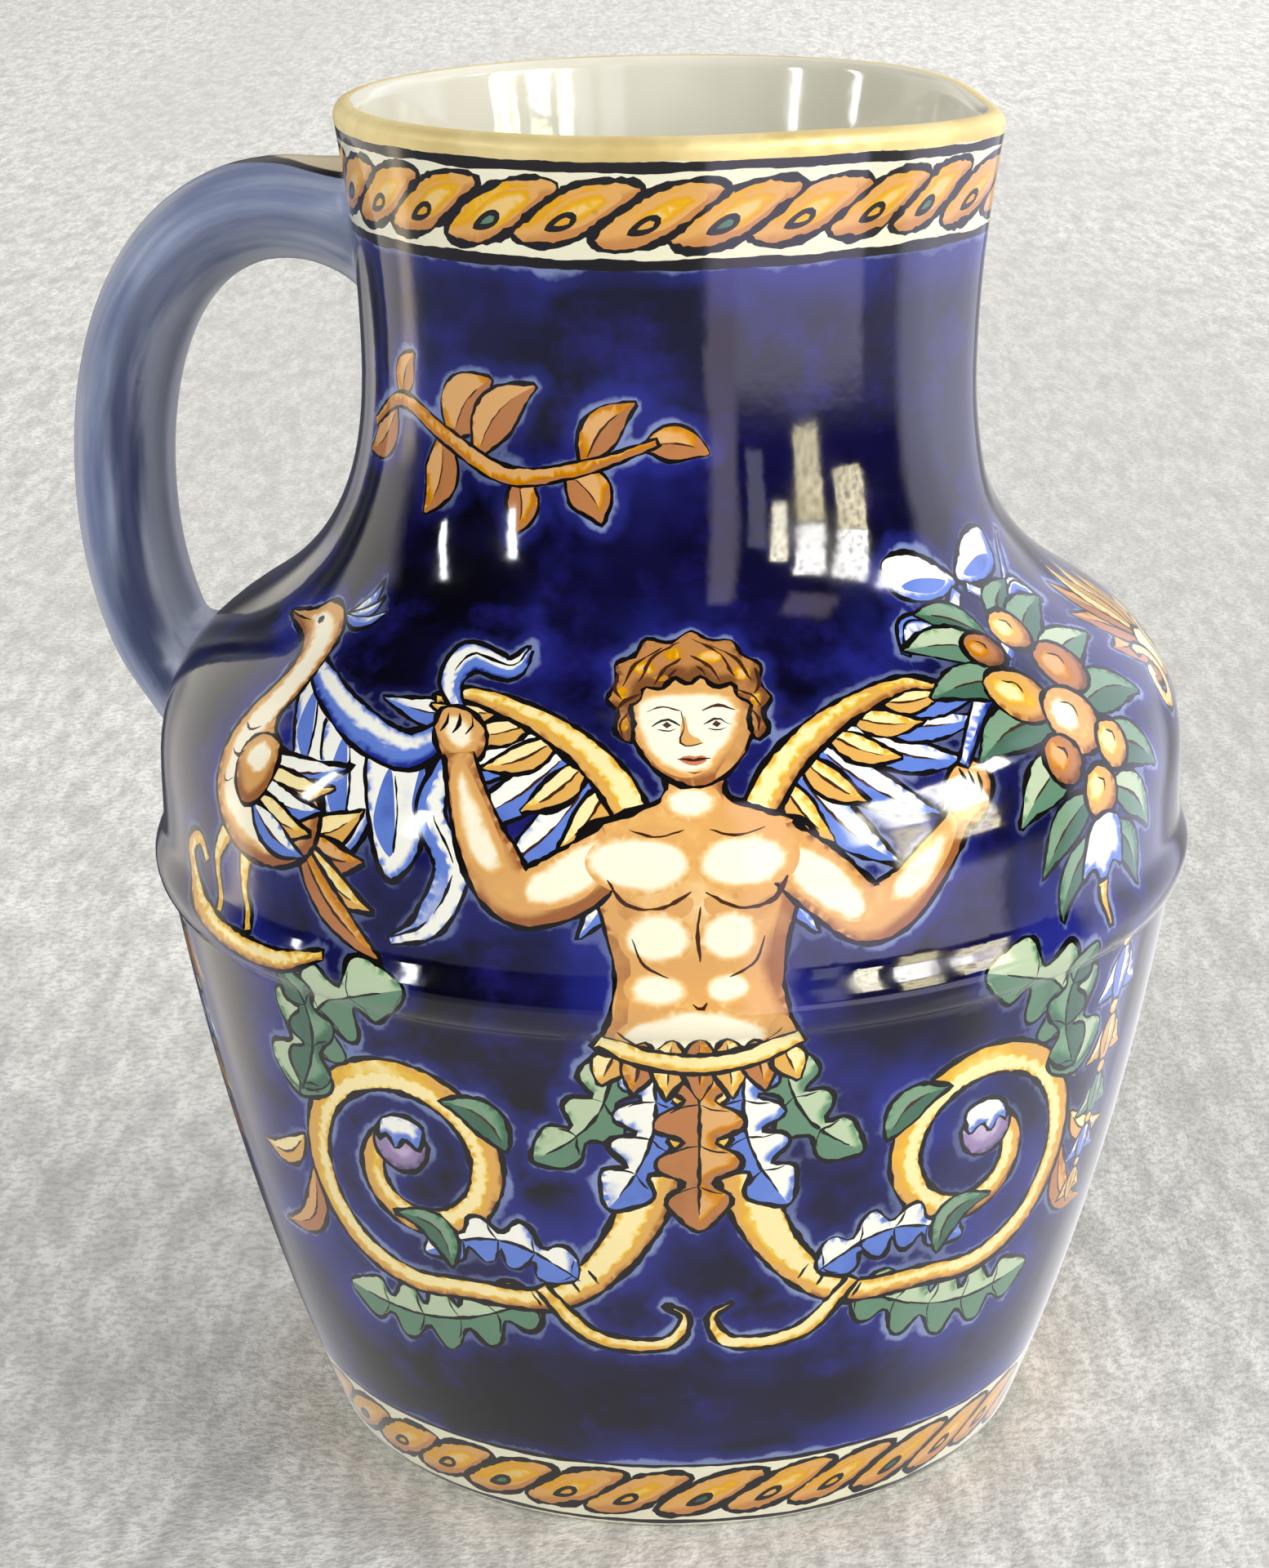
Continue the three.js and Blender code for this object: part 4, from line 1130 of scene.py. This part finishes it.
class NodeDesk:
    # short ways to add nodes to one material or group
    def __init__(self, tree):
        self.nodes, self.links = tree.nodes, tree.links

    def put(self, socket, value):
        if isinstance(value, bpy.types.NodeSocket):
            self.links.new(value, socket)
        else:
            socket.default_value = value

    def mix(self, factor, a, b, blend="MIX"):
        node = self.nodes.new("ShaderNodeMix")
        node.data_type, node.blend_type = "RGBA", blend
        for socket, value in ((node.inputs[0], factor), (node.inputs[6], a), (node.inputs[7], b)):
            self.put(socket, value)
        return node.outputs[2]

    def place(self, stretch=None, source=None):
        at = source or self.nodes.new("ShaderNodeTexCoord").outputs["Object"]
        if stretch:
            node = self.nodes.new("ShaderNodeMapping")
            node.inputs["Scale"].default_value = stretch
            self.links.new(at, node.inputs["Vector"])
            at = node.outputs["Vector"]
        return at

    def noise(self, at, scale, detail=3.0, roughness=0.5, twist=0.0):
        node = self.nodes.new("ShaderNodeTexNoise")
        for name, value in (("Scale", scale), ("Detail", detail), ("Roughness", roughness),
                ("Distortion", twist)):
            node.inputs[name].default_value = value
        self.links.new(at, node.inputs["Vector"])
        return node.outputs["Fac"]

    def ramp(self, value, low, high, bottom=0.0, top=1.0):
        node = self.nodes.new("ShaderNodeMapRange")
        node.interpolation_type = "SMOOTHSTEP"
        for socket, number in zip(node.inputs[1:5], (low, high, bottom, top)):
            socket.default_value = number
        self.put(node.inputs[0], value)
        return node.outputs[0]

    def sum(self, a, b, operation="ADD"):
        node = self.nodes.new("ShaderNodeMath")
        node.operation = operation
        self.put(node.inputs[0], a)
        self.put(node.inputs[1], b)
        return node.outputs[0]

    def swing(self, texture, strength):
        # a texture that pushes to both sides of nothing
        return self.sum(self.sum(texture, -0.5), strength, "MULTIPLY")

    def attribute(self, name, output="Fac"):
        node = self.nodes.new("ShaderNodeAttribute")
        node.attribute_name = name
        return node.outputs[output]


# Colours of the finishes, in the sRGB values a colour picker shows
finishes = {
    "cloud": (0.74, 0.72, 0.66), "speck": (0.22, 0.19, 0.16),
    "cobaltPooled": (0.02, 0.018, 0.06), "cobalt": (0.06, 0.05, 0.22), "cobaltThin": (0.15, 0.14, 0.53),
    "cobaltStroke": (0.03, 0.027, 0.10), "vivid": (0.15, 0.18, 0.58), "bleed": (0.16, 0.18, 0.56),
    "halo": (0.52, 0.58, 0.76),
    "gilding": (0.91, 0.84, 0.61), "gildingWorn": (0.84, 0.75, 0.50), "gildingBright": (0.92, 0.86, 0.68),
    "cream": (0.90, 0.89, 0.83), "creamThick": (0.83, 0.82, 0.75),
    "slateLight": (0.61, 0.65, 0.74), "slate": (0.46, 0.51, 0.65), "slateBroad": (0.33, 0.37, 0.52),
    "slatePatch": (0.60, 0.64, 0.72), "slateDark": (0.16, 0.20, 0.35), "slateLowShade": (0.34, 0.38, 0.50),
    "slateInnerSheen": (0.68, 0.70, 0.75), "rootLine": (0.11, 0.10, 0.10), "rootPatch": (0.80, 0.74, 0.60),
    "clay": (0.84, 0.79, 0.69), "clayDark": (0.74, 0.68, 0.58), "clayDirt": (0.52, 0.48, 0.43),
    "floor": (0.93, 0.925, 0.905), "floorShade": (0.82, 0.815, 0.795), "floorWeave": (0.72, 0.715, 0.70),
    "floorLoops": (0.62, 0.615, 0.595), "floorFoldShade": (0.78, 0.77, 0.75),
}


def tint(name):
    return (*linear(finishes[name]), 1)


def firedGlazeGroup():
    # what every glazed part shows: faint clouds in the colour, small specks and a skin not quite level
    tree = bpy.data.node_groups.new("firedGlaze", "ShaderNodeTree")
    for name, kind in (("Colour", "NodeSocketColor"), ("Clouds", "NodeSocketFloat"),
                       ("Specks", "NodeSocketFloat"), ("Dullness", "NodeSocketFloat")):
        tree.interface.new_socket(name, in_out="INPUT", socket_type=kind)
    for name, kind in (("Colour", "NodeSocketColor"), ("Roughness", "NodeSocketFloat"),
                       ("Height", "NodeSocketFloat")):
        tree.interface.new_socket(name, in_out="OUTPUT", socket_type=kind)
    desk = NodeDesk(tree)
    given, made = desk.nodes.new("NodeGroupInput"), desk.nodes.new("NodeGroupOutput")
    at = desk.place()
    cloud = desk.sum(desk.ramp(desk.noise(at, 70, 4), 0.35, 0.7), given.outputs["Clouds"], "MULTIPLY")
    colour = desk.mix(cloud, given.outputs["Colour"], tint("cloud"), "MULTIPLY")
    cells = desk.nodes.new("ShaderNodeTexVoronoi")
    cells.inputs["Scale"].default_value = 300
    desk.links.new(at, cells.inputs["Vector"])
    rare = desk.ramp(desk.noise(at, 130, 1), 0.62, 0.66)
    speck = desk.sum(desk.ramp(cells.outputs["Distance"], 0.10, 0.05), rare, "MULTIPLY")
    speck = desk.sum(speck, given.outputs["Specks"], "MULTIPLY")
    desk.links.new(desk.mix(speck, colour, tint("speck")), made.inputs["Colour"])
    gloss = desk.ramp(desk.noise(at, 160, 5), 0.3, 0.8, 0.045, 0.13)
    desk.links.new(desk.sum(gloss, given.outputs["Dullness"]), made.inputs["Roughness"])
    skin = desk.sum(desk.noise(at, 75, 1), desk.sum(desk.noise(at, 480, 2), 0.10, "MULTIPLY"))
    desk.links.new(skin, made.inputs["Height"])
    return tree


def newMaterial(name):
    material = bpy.data.materials.new(name)
    material.use_nodes = True
    return material, NodeDesk(material.node_tree), material.node_tree.nodes["Principled BSDF"]


def addBump(desk, shader, height, strength, distance):
    bump = desk.nodes.new("ShaderNodeBump")
    bump.inputs["Strength"].default_value = strength
    bump.inputs["Distance"].default_value = distance
    desk.links.new(height, bump.inputs["Height"])
    desk.links.new(bump.outputs["Normal"], shader.inputs["Normal"])


def addGlaze(desk, shader, colour, clouds, specks, wave=0.3, dullness=0.0):
    glaze = desk.nodes.new("ShaderNodeGroup")
    glaze.node_tree = bpy.data.node_groups.get("firedGlaze") or firedGlazeGroup()
    glaze.inputs["Clouds"].default_value = clouds
    glaze.inputs["Specks"].default_value = specks
    glaze.inputs["Dullness"].default_value = dullness
    desk.put(glaze.inputs["Colour"], colour)
    desk.links.new(glaze.outputs["Colour"], shader.inputs["Base Color"])
    desk.links.new(glaze.outputs["Roughness"], shader.inputs["Roughness"])
    shader.inputs["IOR"].default_value = 1.52
    addBump(desk, shader, glaze.outputs["Height"], wave, 0.0004)


def paintedGlaze():
    # cobalt brushed over the whole body and pooled round the drawing, and the drawing itself
    material, desk, shader = newMaterial("paintedGlaze")
    at = desk.place()
    clouds, blots = desk.noise(at, 62, 4, 0.6, 0.4), desk.noise(at, 150, 5, 0.6)
    grain = desk.noise(at, 520, 5)
    strokes = desk.noise(desk.place((150, 150, 620)), 1.0, 3)
    deep = desk.mix(desk.ramp(clouds, 0.36, 0.62), tint("cobaltPooled"), tint("cobalt"))
    deep = desk.mix(desk.ramp(blots, 0.50, 0.74, 0, 0.5), deep, tint("cobaltThin"))
    deep = desk.mix(desk.ramp(strokes, 0.52, 0.72, 0, 0.5), deep, tint("cobaltStroke"))
    gap = desk.sum(desk.attribute("gap"), desk.swing(grain, 1.1))
    gap = desk.sum(gap, desk.swing(desk.noise(at, 210, 3), 2.2))
    washed = desk.ramp(desk.noise(at, 40, 2), 0.38, 0.62, 0.3, 1.0)
    vivid = desk.sum(desk.ramp(gap, 5.5, 0.9), desk.ramp(desk.noise(at, 56, 3, 0.6), 0.48, 0.68),
                     "MULTIPLY")
    deep = desk.mix(desk.sum(vivid, 0.6, "MULTIPLY"), deep, tint("vivid"))
    deep = desk.mix(desk.sum(desk.ramp(gap, 1.8, 0.35, 0, 0.55), washed, "MULTIPLY"), deep, tint("bleed"))
    fringe = desk.sum(desk.ramp(gap, 0.40, -0.05, 0, 0.85), washed, "MULTIPLY")
    deep = desk.mix(fringe, deep, tint("halo"))
    tone = desk.attribute("tone")
    for texture, strength in ((grain, 0.28), (blots, 0.35), (desk.noise(at, 95, 2), 0.5)):
        tone = desk.sum(tone, desk.swing(texture, strength))
    thin = desk.ramp(tone, 0.08, 0.40)
    paint = desk.mix(thin, desk.attribute("paintLight", "Color"), desk.attribute("paintMiddle", "Color"))
    paint = desk.mix(desk.ramp(tone, 0.50, 0.86), paint, desk.attribute("paintDark", "Color"))
    # a wash is strongest in colour where it thins out
    rim = desk.sum(desk.sum(thin, desk.sum(1.0, thin, "SUBTRACT"), "MULTIPLY"), 1.2, "MULTIPLY")
    richer = desk.nodes.new("ShaderNodeHueSaturation")
    desk.links.new(desk.sum(rim, 1.0), richer.inputs["Saturation"])
    desk.links.new(paint, richer.inputs["Color"])
    paint = richer.outputs["Color"]
    addGlaze(desk, shader, desk.mix(desk.attribute("ground"), paint, deep), 0.12, 0.2)
    return material


def gildedLip():
    material, desk, shader = newMaterial("gildedLip")
    at = desk.place()
    rubbed, fine = desk.noise(at, 130, 5), desk.noise(at, 900, 4)
    colour = desk.mix(desk.ramp(rubbed, 0.35, 0.7), tint("gilding"), tint("gildingWorn"))
    colour = desk.mix(desk.ramp(fine, 0.62, 0.75, 0, 0.4), colour, tint("gildingBright"))
    desk.links.new(colour, shader.inputs["Base Color"])
    desk.links.new(desk.ramp(fine, 0.3, 0.7, 0.42, 0.6), shader.inputs["Roughness"])
    shader.inputs["Metallic"].default_value = 0.3
    addBump(desk, shader, fine, 0.25, 0.0001)
    return material


def creamGlaze():
    material, desk, shader = newMaterial("creamGlaze")
    at = desk.place()
    colour = desk.mix(desk.ramp(desk.noise(at, 45, 3), 0.3, 0.75), tint("cream"), tint("creamThick"))
    addGlaze(desk, shader, colour, 0.10, 0.55, 0.4)
    return material


def handleGlaze():
    # thin slate blue in long strokes along the handle, with a black line and a pale patch at the rim;
    # painted shade darkens it towards its lower end and a painted reflection pales its inner side
    material, desk, shader = newMaterial("handleGlaze")
    split = desk.nodes.new("ShaderNodeSeparateXYZ")
    brush = desk.attribute("handleBrush", "Vector")
    desk.links.new(brush, split.inputs[0])
    outer, run = split.outputs[0], split.outputs[2]
    streaks = desk.noise(desk.place((2.6, 2.6, 0.045), brush), 1.0, 5, 0.62)
    broad = desk.noise(desk.place((1.1, 1.1, 0.02), brush), 1.0, 3)
    patchy = desk.noise(desk.place(), 110, 4)
    colour = desk.mix(desk.ramp(streaks, 0.34, 0.66), tint("slateLight"), tint("slate"))
    colour = desk.mix(desk.ramp(broad, 0.50, 0.66, 0, 0.6), colour, tint("slateBroad"))
    colour = desk.mix(desk.ramp(patchy, 0.45, 0.75, 0, 0.45), colour, tint("slatePatch"))
    wander = desk.swing(desk.noise(desk.place((1.3, 1.3, 0.05), brush), 1.0, 3), 1.5)
    flank = desk.sum(desk.sum(desk.sum(outer, 0.25), wander), 0.0, "ABSOLUTE")
    # the glaze's dark streak down the flank, made deeper towards the lower end by painted shade
    streakAndShade = desk.sum(desk.ramp(flank, 0.62, 0.10), desk.ramp(run, 10, 40, 0.45, 0.95), "MULTIPLY")
    colour = desk.mix(streakAndShade, colour, tint("slateDark"))
    # painted shade: the handle grows darker towards its lower end
    colour = desk.mix(desk.ramp(run, 40, 95, 0, 0.6), colour, tint("slateLowShade"))
    # painted reflection: the inner side, which faces the jug, is made paler
    innerSheen = desk.ramp(desk.sum(outer, wander), -0.35, -0.8, 0, 0.65)
    colour = desk.mix(innerSheen, colour, tint("slateInnerSheen"))
    edge = desk.sum(desk.sum(outer, desk.sum(run, 0.024, "MULTIPLY"), "SUBTRACT"),
                    desk.sum(patchy, 0.05, "MULTIPLY"))
    colour = desk.mix(desk.ramp(edge, 0.735, 0.755), colour, tint("rootLine"))
    colour = desk.mix(desk.ramp(edge, 0.815, 0.835), colour, tint("rootPatch"))
    addGlaze(desk, shader, colour, 0.2, 0.3, 0.35, 0.26)
    return material


def bareFoot():
    # unglazed clay, greyed where it has stood on tables
    material, desk, shader = newMaterial("bareFoot")
    at = desk.place()
    colour = desk.mix(desk.ramp(desk.noise(at, 60, 4), 0.35, 0.7), tint("clay"), tint("clayDark"))
    colour = desk.mix(desk.ramp(desk.noise(at, 420, 5), 0.55, 0.72, 0, 0.5), colour, tint("clayDirt"))
    desk.links.new(colour, shader.inputs["Base Color"])
    desk.links.new(desk.ramp(desk.noise(at, 300, 3), 0.3, 0.7, 0.6, 0.85), shader.inputs["Roughness"])
    addBump(desk, shader, desk.noise(at, 1400, 4), 0.35, 0.0002)
    return material


def paleFloor():
    material, desk, shader = newMaterial("paleFloor")
    turned = desk.nodes.new("ShaderNodeVectorRotate")
    turned.rotation_type = "Z_AXIS"
    turned.inputs["Angle"].default_value = math.radians(-view["turn"])
    desk.links.new(desk.place(), turned.inputs["Vector"])
    at = desk.place((1.0, 0.27, 1.0), turned.outputs["Vector"])      # the nap lies towards the viewer
    tufts, weave, foldShade = desk.noise(at, 440, 3, 0.6), desk.noise(at, 190, 3, 0.6), desk.noise(at, 9, 2)
    loops = desk.noise(turned.outputs["Vector"], 1000, 2, 0.7)
    colour = desk.mix(desk.ramp(tufts, 0.34, 0.66), tint("floor"), tint("floorShade"))
    colour = desk.mix(desk.ramp(weave, 0.42, 0.70, 0, 0.55), colour, tint("floorWeave"))
    colour = desk.mix(desk.ramp(loops, 0.44, 0.62, 0, 0.42), colour, tint("floorLoops"))
    # painted shade of folds in the cloth: large soft patches a little darker
    colour = desk.mix(desk.ramp(foldShade, 0.45, 0.65, 0, 0.4), colour, tint("floorFoldShade"))
    desk.links.new(colour, shader.inputs["Base Color"])
    shader.inputs["Roughness"].default_value = 0.9
    shader.inputs["Specular IOR Level"].default_value = 0.1
    addBump(desk, shader, loops, 0.5, 0.0006)
    return material


def finishMesh(piece):
    # the parts were made round; the spout is pulled last, on all of them at once
    mesh = piece.data
    count = len(mesh.vertices)
    places = np.empty(count * 3, np.float32)
    mesh.vertices.foreach_get("co", places)
    pulled = pullSpout(places.reshape(-1, 3).astype(float) / mm) * mm
    mesh.vertices.foreach_set("co", pulled.astype(np.float32).ravel())
    mesh.update()
    spots = np.empty(count * 3, np.float32)
    mesh.attributes["onWall"].data.foreach_get("vector", spots)
    spots = spots.reshape(-1, 3).astype(float)
    normals = np.empty(count * 3, np.float32)
    mesh.vertex_normals.foreach_get("vector", normals)
    normals = normals.reshape(-1, 3)
    walled = spots[:, 2] > 0.5
    normals[walled] = wallNormals(spots[walled, 0], spots[walled, 1])
    mesh.shade_smooth()
    mesh.normals_split_custom_set_from_vertices(normals)


def buildJug():
    outer, slots = makeWall()
    print("painted wall:", len(outer.data.polygons), "triangles")
    inner, under, loop = makeInside(), makeUnderside(), makeHandle()
    materials = [paintedGlaze(), gildedLip(), creamGlaze(), handleGlaze(), bareFoot()]
    gilded, cream, slate, bare = 1, 2, 3, 4      # their slots; the painted wall has slot 0
    for piece in (outer, inner, under, loop):
        for material in materials:
            piece.data.materials.append(material)
    outer.data.polygons.foreach_set("material_index", slots)
    for face in inner.data.polygons:
        outwards = math.hypot(face.center.x, face.center.y) / mm - wall["rimRadius"] + wall["lipWall"] / 2
        onLip = outwards > -wall["gildingOver"] and face.center.z > wall["lipStart"] * mm
        face.material_index = gilded if onLip else cream
    for face in under.data.polygons:
        face.material_index = bare
    for face in loop.data.polygons:
        face.material_index = slate
    onlySelect(outer)
    for piece in (inner, under, loop):
        piece.select_set(True)
    bpy.ops.object.join()
    outer.name = outer.data.name = "paintedJug"
    bpy.ops.object.mode_set(mode="EDIT")
    bpy.ops.mesh.select_mode(type="VERT")
    bpy.ops.mesh.select_all(action="DESELECT")
    bpy.ops.mesh.select_non_manifold(extend=False, use_wire=True, use_boundary=True, use_multi_face=False,
                                     use_non_contiguous=False, use_verts=False)
    bpy.ops.mesh.remove_doubles(threshold=fine["seamWeld"] * mm)
    bpy.ops.mesh.select_all(action="SELECT")
    bpy.ops.mesh.normals_make_consistent(inside=False)      # the spun underside comes inside out
    bpy.ops.mesh.select_all(action="DESELECT")
    bpy.ops.mesh.select_non_manifold(extend=False)
    bpy.ops.object.mode_set(mode="OBJECT")
    print("corners on open or opposed edges:", sum(v.select for v in outer.data.vertices))
    finishMesh(outer)
    triangles = sum(len(face.vertices) - 2 for face in outer.data.polygons)
    print("jug:", len(outer.data.polygons), "faces,", triangles, "triangles")
    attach(outer, "root")
    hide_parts("jug")


# The photographer's place, millimetres and degrees
view = {
    "side": 67.6, "back": 263.8, "height": 144.44, "turn": 15.0, "down": 18.546, "roll": 0.876,
    "lens": 79.22, "sensor": 36,
}


def placeCamera():
    data = bpy.data.cameras.new("camera")
    data.lens, data.sensor_width, data.sensor_fit = view["lens"], view["sensor"], "AUTO"
    data.clip_start = 0.01
    camera = addObject("camera", data)
    place = Vector((view["side"], -view["back"], view["height"])) * mm
    camera.matrix_world = (Matrix.Translation(place)
                           @ Matrix.Rotation(math.radians(view["turn"]), 4, "Z")
                           @ Matrix.Rotation(math.radians(90 - view["down"]), 4, "X")
                           @ Matrix.Rotation(math.radians(-view["roll"]), 4, "Z"))
    bpy.context.scene.camera = camera


# Lights: how far to the camera's right, how high (degrees), how far off, width, height (metres), watts,
# colour, and whether they are seen in the glaze or light the body
lights = {
    "paneNear": (39.7, 18, 0.9, 0.08, 0.32, 2.0, (1.0, 0.94, 0.72), "glaze"),
    "treesMiddle": (51.0, 3, 0.9, 0.145, 0.33, 2.2, (1.0, 0.90, 0.55), "glaze"),
    "skyMiddle": (51.0, 24, 0.9, 0.145, 0.30, 3.9, (1.0, 0.98, 0.93), "glaze"),
    "treesFar": (67.0, 8, 0.9, 0.19, 0.24, 2.3, (1.0, 0.90, 0.58), "glaze"),
    "skyFar": (67.0, 25, 0.9, 0.19, 0.29, 4.6, (1.0, 0.98, 0.94), "glaze"),
    "smallPane": (83.5, 32, 0.9, 0.11, 0.11, 1.1, (1.0, 0.99, 0.97), "glaze"),
    "gapLeft": (-57.0, 17, 0.9, 0.045, 0.26, 1.4, (0.93, 0.96, 1.0), "glaze"),
    "gapFarLeft": (-86.0, 20, 0.9, 0.04, 0.30, 1.2, (0.93, 0.96, 1.0), "glaze"),
    "softFront": (-20.0, 16, 1.2, 0.9, 0.7, 6.4, (1.0, 0.99, 0.97), "body"),
    "softRight": (64.0, 14, 1.2, 1.0, 0.8, 7.5, (1.0, 0.98, 0.95), "body"),
    "softBack": (152.0, 44, 1.5, 0.9, 0.7, 4.0, (1.0, 0.99, 0.97), "body"),
}
room = {
    "pale": (0.37, 0.37, 0.385), "sun": 1.0, "sunSide": 72, "sunHeight": 40, "sunSoftness": 45,
    "aim": (0, 0, 0.06), "floorSize": 6, "floorMiddle": (0, 1.5, 0),
}
# Lamps straight over the floor: how far to the right, how high, how far off, width and watts
pools = {
    "backdropLight": (160, 33, 1.5, 1.2, 7.4),
    "foregroundLight": (-42, 46, 0.85, 0.6, 1.35),
}
# What the glaze sees of the room: the middle of each patch to the right and its half width, its middle
# height and half height, how soft its edges are (all degrees), and its colour, over 1 where it is bright
reflected = {
    "backdrop": (0, 180, 0, 90, 1, (0.66, 0.65, 0.66)),
    "darkRoom": (-4, 144, 45, 48, 14, (0.015, 0.015, 0.02)),
    "darkCorner": (-4, 98, 40, 50, 4, (0.01, 0.01, 0.015)),
    "table": (-40, 62, -16, 9, 5, (0.34, 0.36, 0.44)),
    "wallLeft": (-128, 19, -3, 29, 5, (1.35, 1.27, 1.16)),
    "edgeLeft": (-172, 15, -8, 22, 3, (0.10, 0.10, 0.12)),
    "wallLeftHigh": (-138, 22, 16, 16, 4, (1.35, 1.30, 1.15)),
    "doorLeft": (-111, 4, -14, 9, 3, (3.1, 2.7, 2.1)),
    "wallRight": (46, 31, -21.5, 9, 2, (2.3, 2.2, 2.9)),
    "frameRight": (20, 5, 14, 34, 2, (2.0, 1.75, 2.1)),
    "dimPanes": (32, 3, 8, 14, 1, (1.7, 1.7, 2.1)),
    "streakRight": (58, 10, 47, 5, 2, (1.6, 1.3, 1.8)),
    "curtainRight": (119, 23, -14, 20, 4, (1.8, 1.8, 2.2)),
    "curtainHigh": (125, 28, 17, 20, 4, (1.65, 1.65, 1.95)),
    "floorLeft": (-70, 110, -50, 16, 8, (0.70, 0.68, 0.66)),
    "floorRight": (115, 40, -42, 12, 8, (1.1, 1.1, 1.15)),
    "floorFarRight": (157, 14, -28, 9, 5, (1.25, 1.24, 1.26)),
}


def directionOf(side, height):
    turn, rise = math.radians(view["turn"] + side - 90), math.radians(height)
    return Vector((math.cos(turn) * math.cos(rise), math.sin(turn) * math.cos(rise), math.sin(rise)))


def addLight(name, kind, way, distance, colour, energy):
    data = bpy.data.lights.new(name, kind)
    data.color, data.energy = colour, energy
    lamp = addObject(name, data)
    lamp.location = Vector(room["aim"]) + way * distance
    lamp.rotation_euler = (-way).to_track_quat("-Z", "Y").to_euler()
    return lamp


def mottled(data):
    # leaves and branches outside break up the panes
    data.use_nodes = True
    desk = NodeDesk(data.node_tree)
    pane = desk.nodes.new("ShaderNodeNewGeometry").outputs["Parametric"]
    leaves = desk.noise(desk.place((6, 9, 1), pane), 1.0, 4, 0.7)
    desk.links.new(desk.ramp(leaves, 0.34, 0.60, 0.15, 1.3),
                   data.node_tree.nodes["Emission"].inputs["Strength"])


def addLamps():
    for name, (side, height, distance, wide, tall, watts, colour, shown) in lights.items():
        lamp = addLight(name, "AREA", directionOf(side, height), distance, colour, watts)
        lamp.data.shape, lamp.data.size, lamp.data.size_y = "RECTANGLE", wide, tall
        lamp.visible_glossy, lamp.visible_diffuse = shown == "glaze", shown == "body"
        lamp.visible_camera = False
        if shown == "glaze":
            mottled(lamp.data)
    for name, (side, height, distance, wide, watts) in pools.items():
        pool = addLight(name, "AREA", directionOf(side, height), distance, (1, 1, 0.99), watts)
        pool.rotation_euler = (0, 0, 0)
        pool.data.size, pool.visible_glossy, pool.visible_camera = wide, False, False
    sunWay = directionOf(room["sunSide"], room["sunHeight"])
    sun = addLight("daylight", "SUN", sunWay, 2, (1, 0.99, 0.96), room["sun"])
    sun.data.angle = math.radians(room["sunSoftness"])
    sun.visible_glossy = False


def paintRoom():
    # the pale room that lights the jug, and the patches that its glaze mirrors
    world = bpy.data.worlds.new("room")
    bpy.context.scene.world = world
    world.use_nodes = True
    desk = NodeDesk(world.node_tree)
    turned = desk.nodes.new("ShaderNodeVectorRotate")
    turned.rotation_type = "Z_AXIS"
    turned.inputs["Angle"].default_value = math.radians(90 - view["turn"])
    desk.links.new(desk.nodes.new("ShaderNodeTexCoord").outputs["Generated"], turned.inputs["Vector"])
    split = desk.nodes.new("ShaderNodeSeparateXYZ")
    desk.links.new(turned.outputs["Vector"], split.inputs[0])
    degrees = 180 / math.pi
    side = desk.sum(desk.sum(split.outputs["Y"], split.outputs["X"], "ARCTAN2"), degrees, "MULTIPLY")
    height = desk.sum(desk.sum(split.outputs["Z"], 0, "ARCSINE"), degrees, "MULTIPLY")
    seen = (0, 0, 0, 1)
    for sideMiddle, halfWidth, heightMiddle, halfHeight, soft, colour in reflected.values():
        masks = []
        for angle, middle, half in ((side, sideMiddle, halfWidth), (height, heightMiddle, halfHeight)):
            gap = desk.sum(desk.sum(angle, middle, "SUBTRACT"), 0, "ABSOLUTE")
            masks.append(desk.ramp(gap, half - soft, half + soft, 1, 0))
        seen = desk.mix(desk.sum(*masks, "MULTIPLY"), seen, (*colour, 1))
    reflection = world.node_tree.nodes["Background"]
    desk.put(reflection.inputs["Color"], seen)
    ambient = desk.nodes.new("ShaderNodeBackground")
    ambient.inputs["Color"].default_value = (*room["pale"], 1)
    chosen = desk.nodes.new("ShaderNodeMixShader")
    desk.links.new(desk.nodes.new("ShaderNodeLightPath").outputs["Is Glossy Ray"], chosen.inputs[0])
    desk.links.new(ambient.outputs[0], chosen.inputs[1])
    desk.links.new(reflection.outputs[0], chosen.inputs[2])
    desk.links.new(chosen.outputs[0], world.node_tree.nodes["World Output"].inputs["Surface"])


def layFloor():
    bpy.ops.mesh.primitive_plane_add(size=room["floorSize"], location=room["floorMiddle"])
    floor = bpy.context.active_object
    floor.name = "floor"
    floor.data.materials.append(paleFloor())
    floor.visible_glossy = False     # the glaze sees the room's own patches instead


buildJug()
placeCamera()
addLamps()
paintRoom()
layFloor()
bpy.context.scene.view_settings.view_transform = "Standard"
print("camera, lights and floor placed")
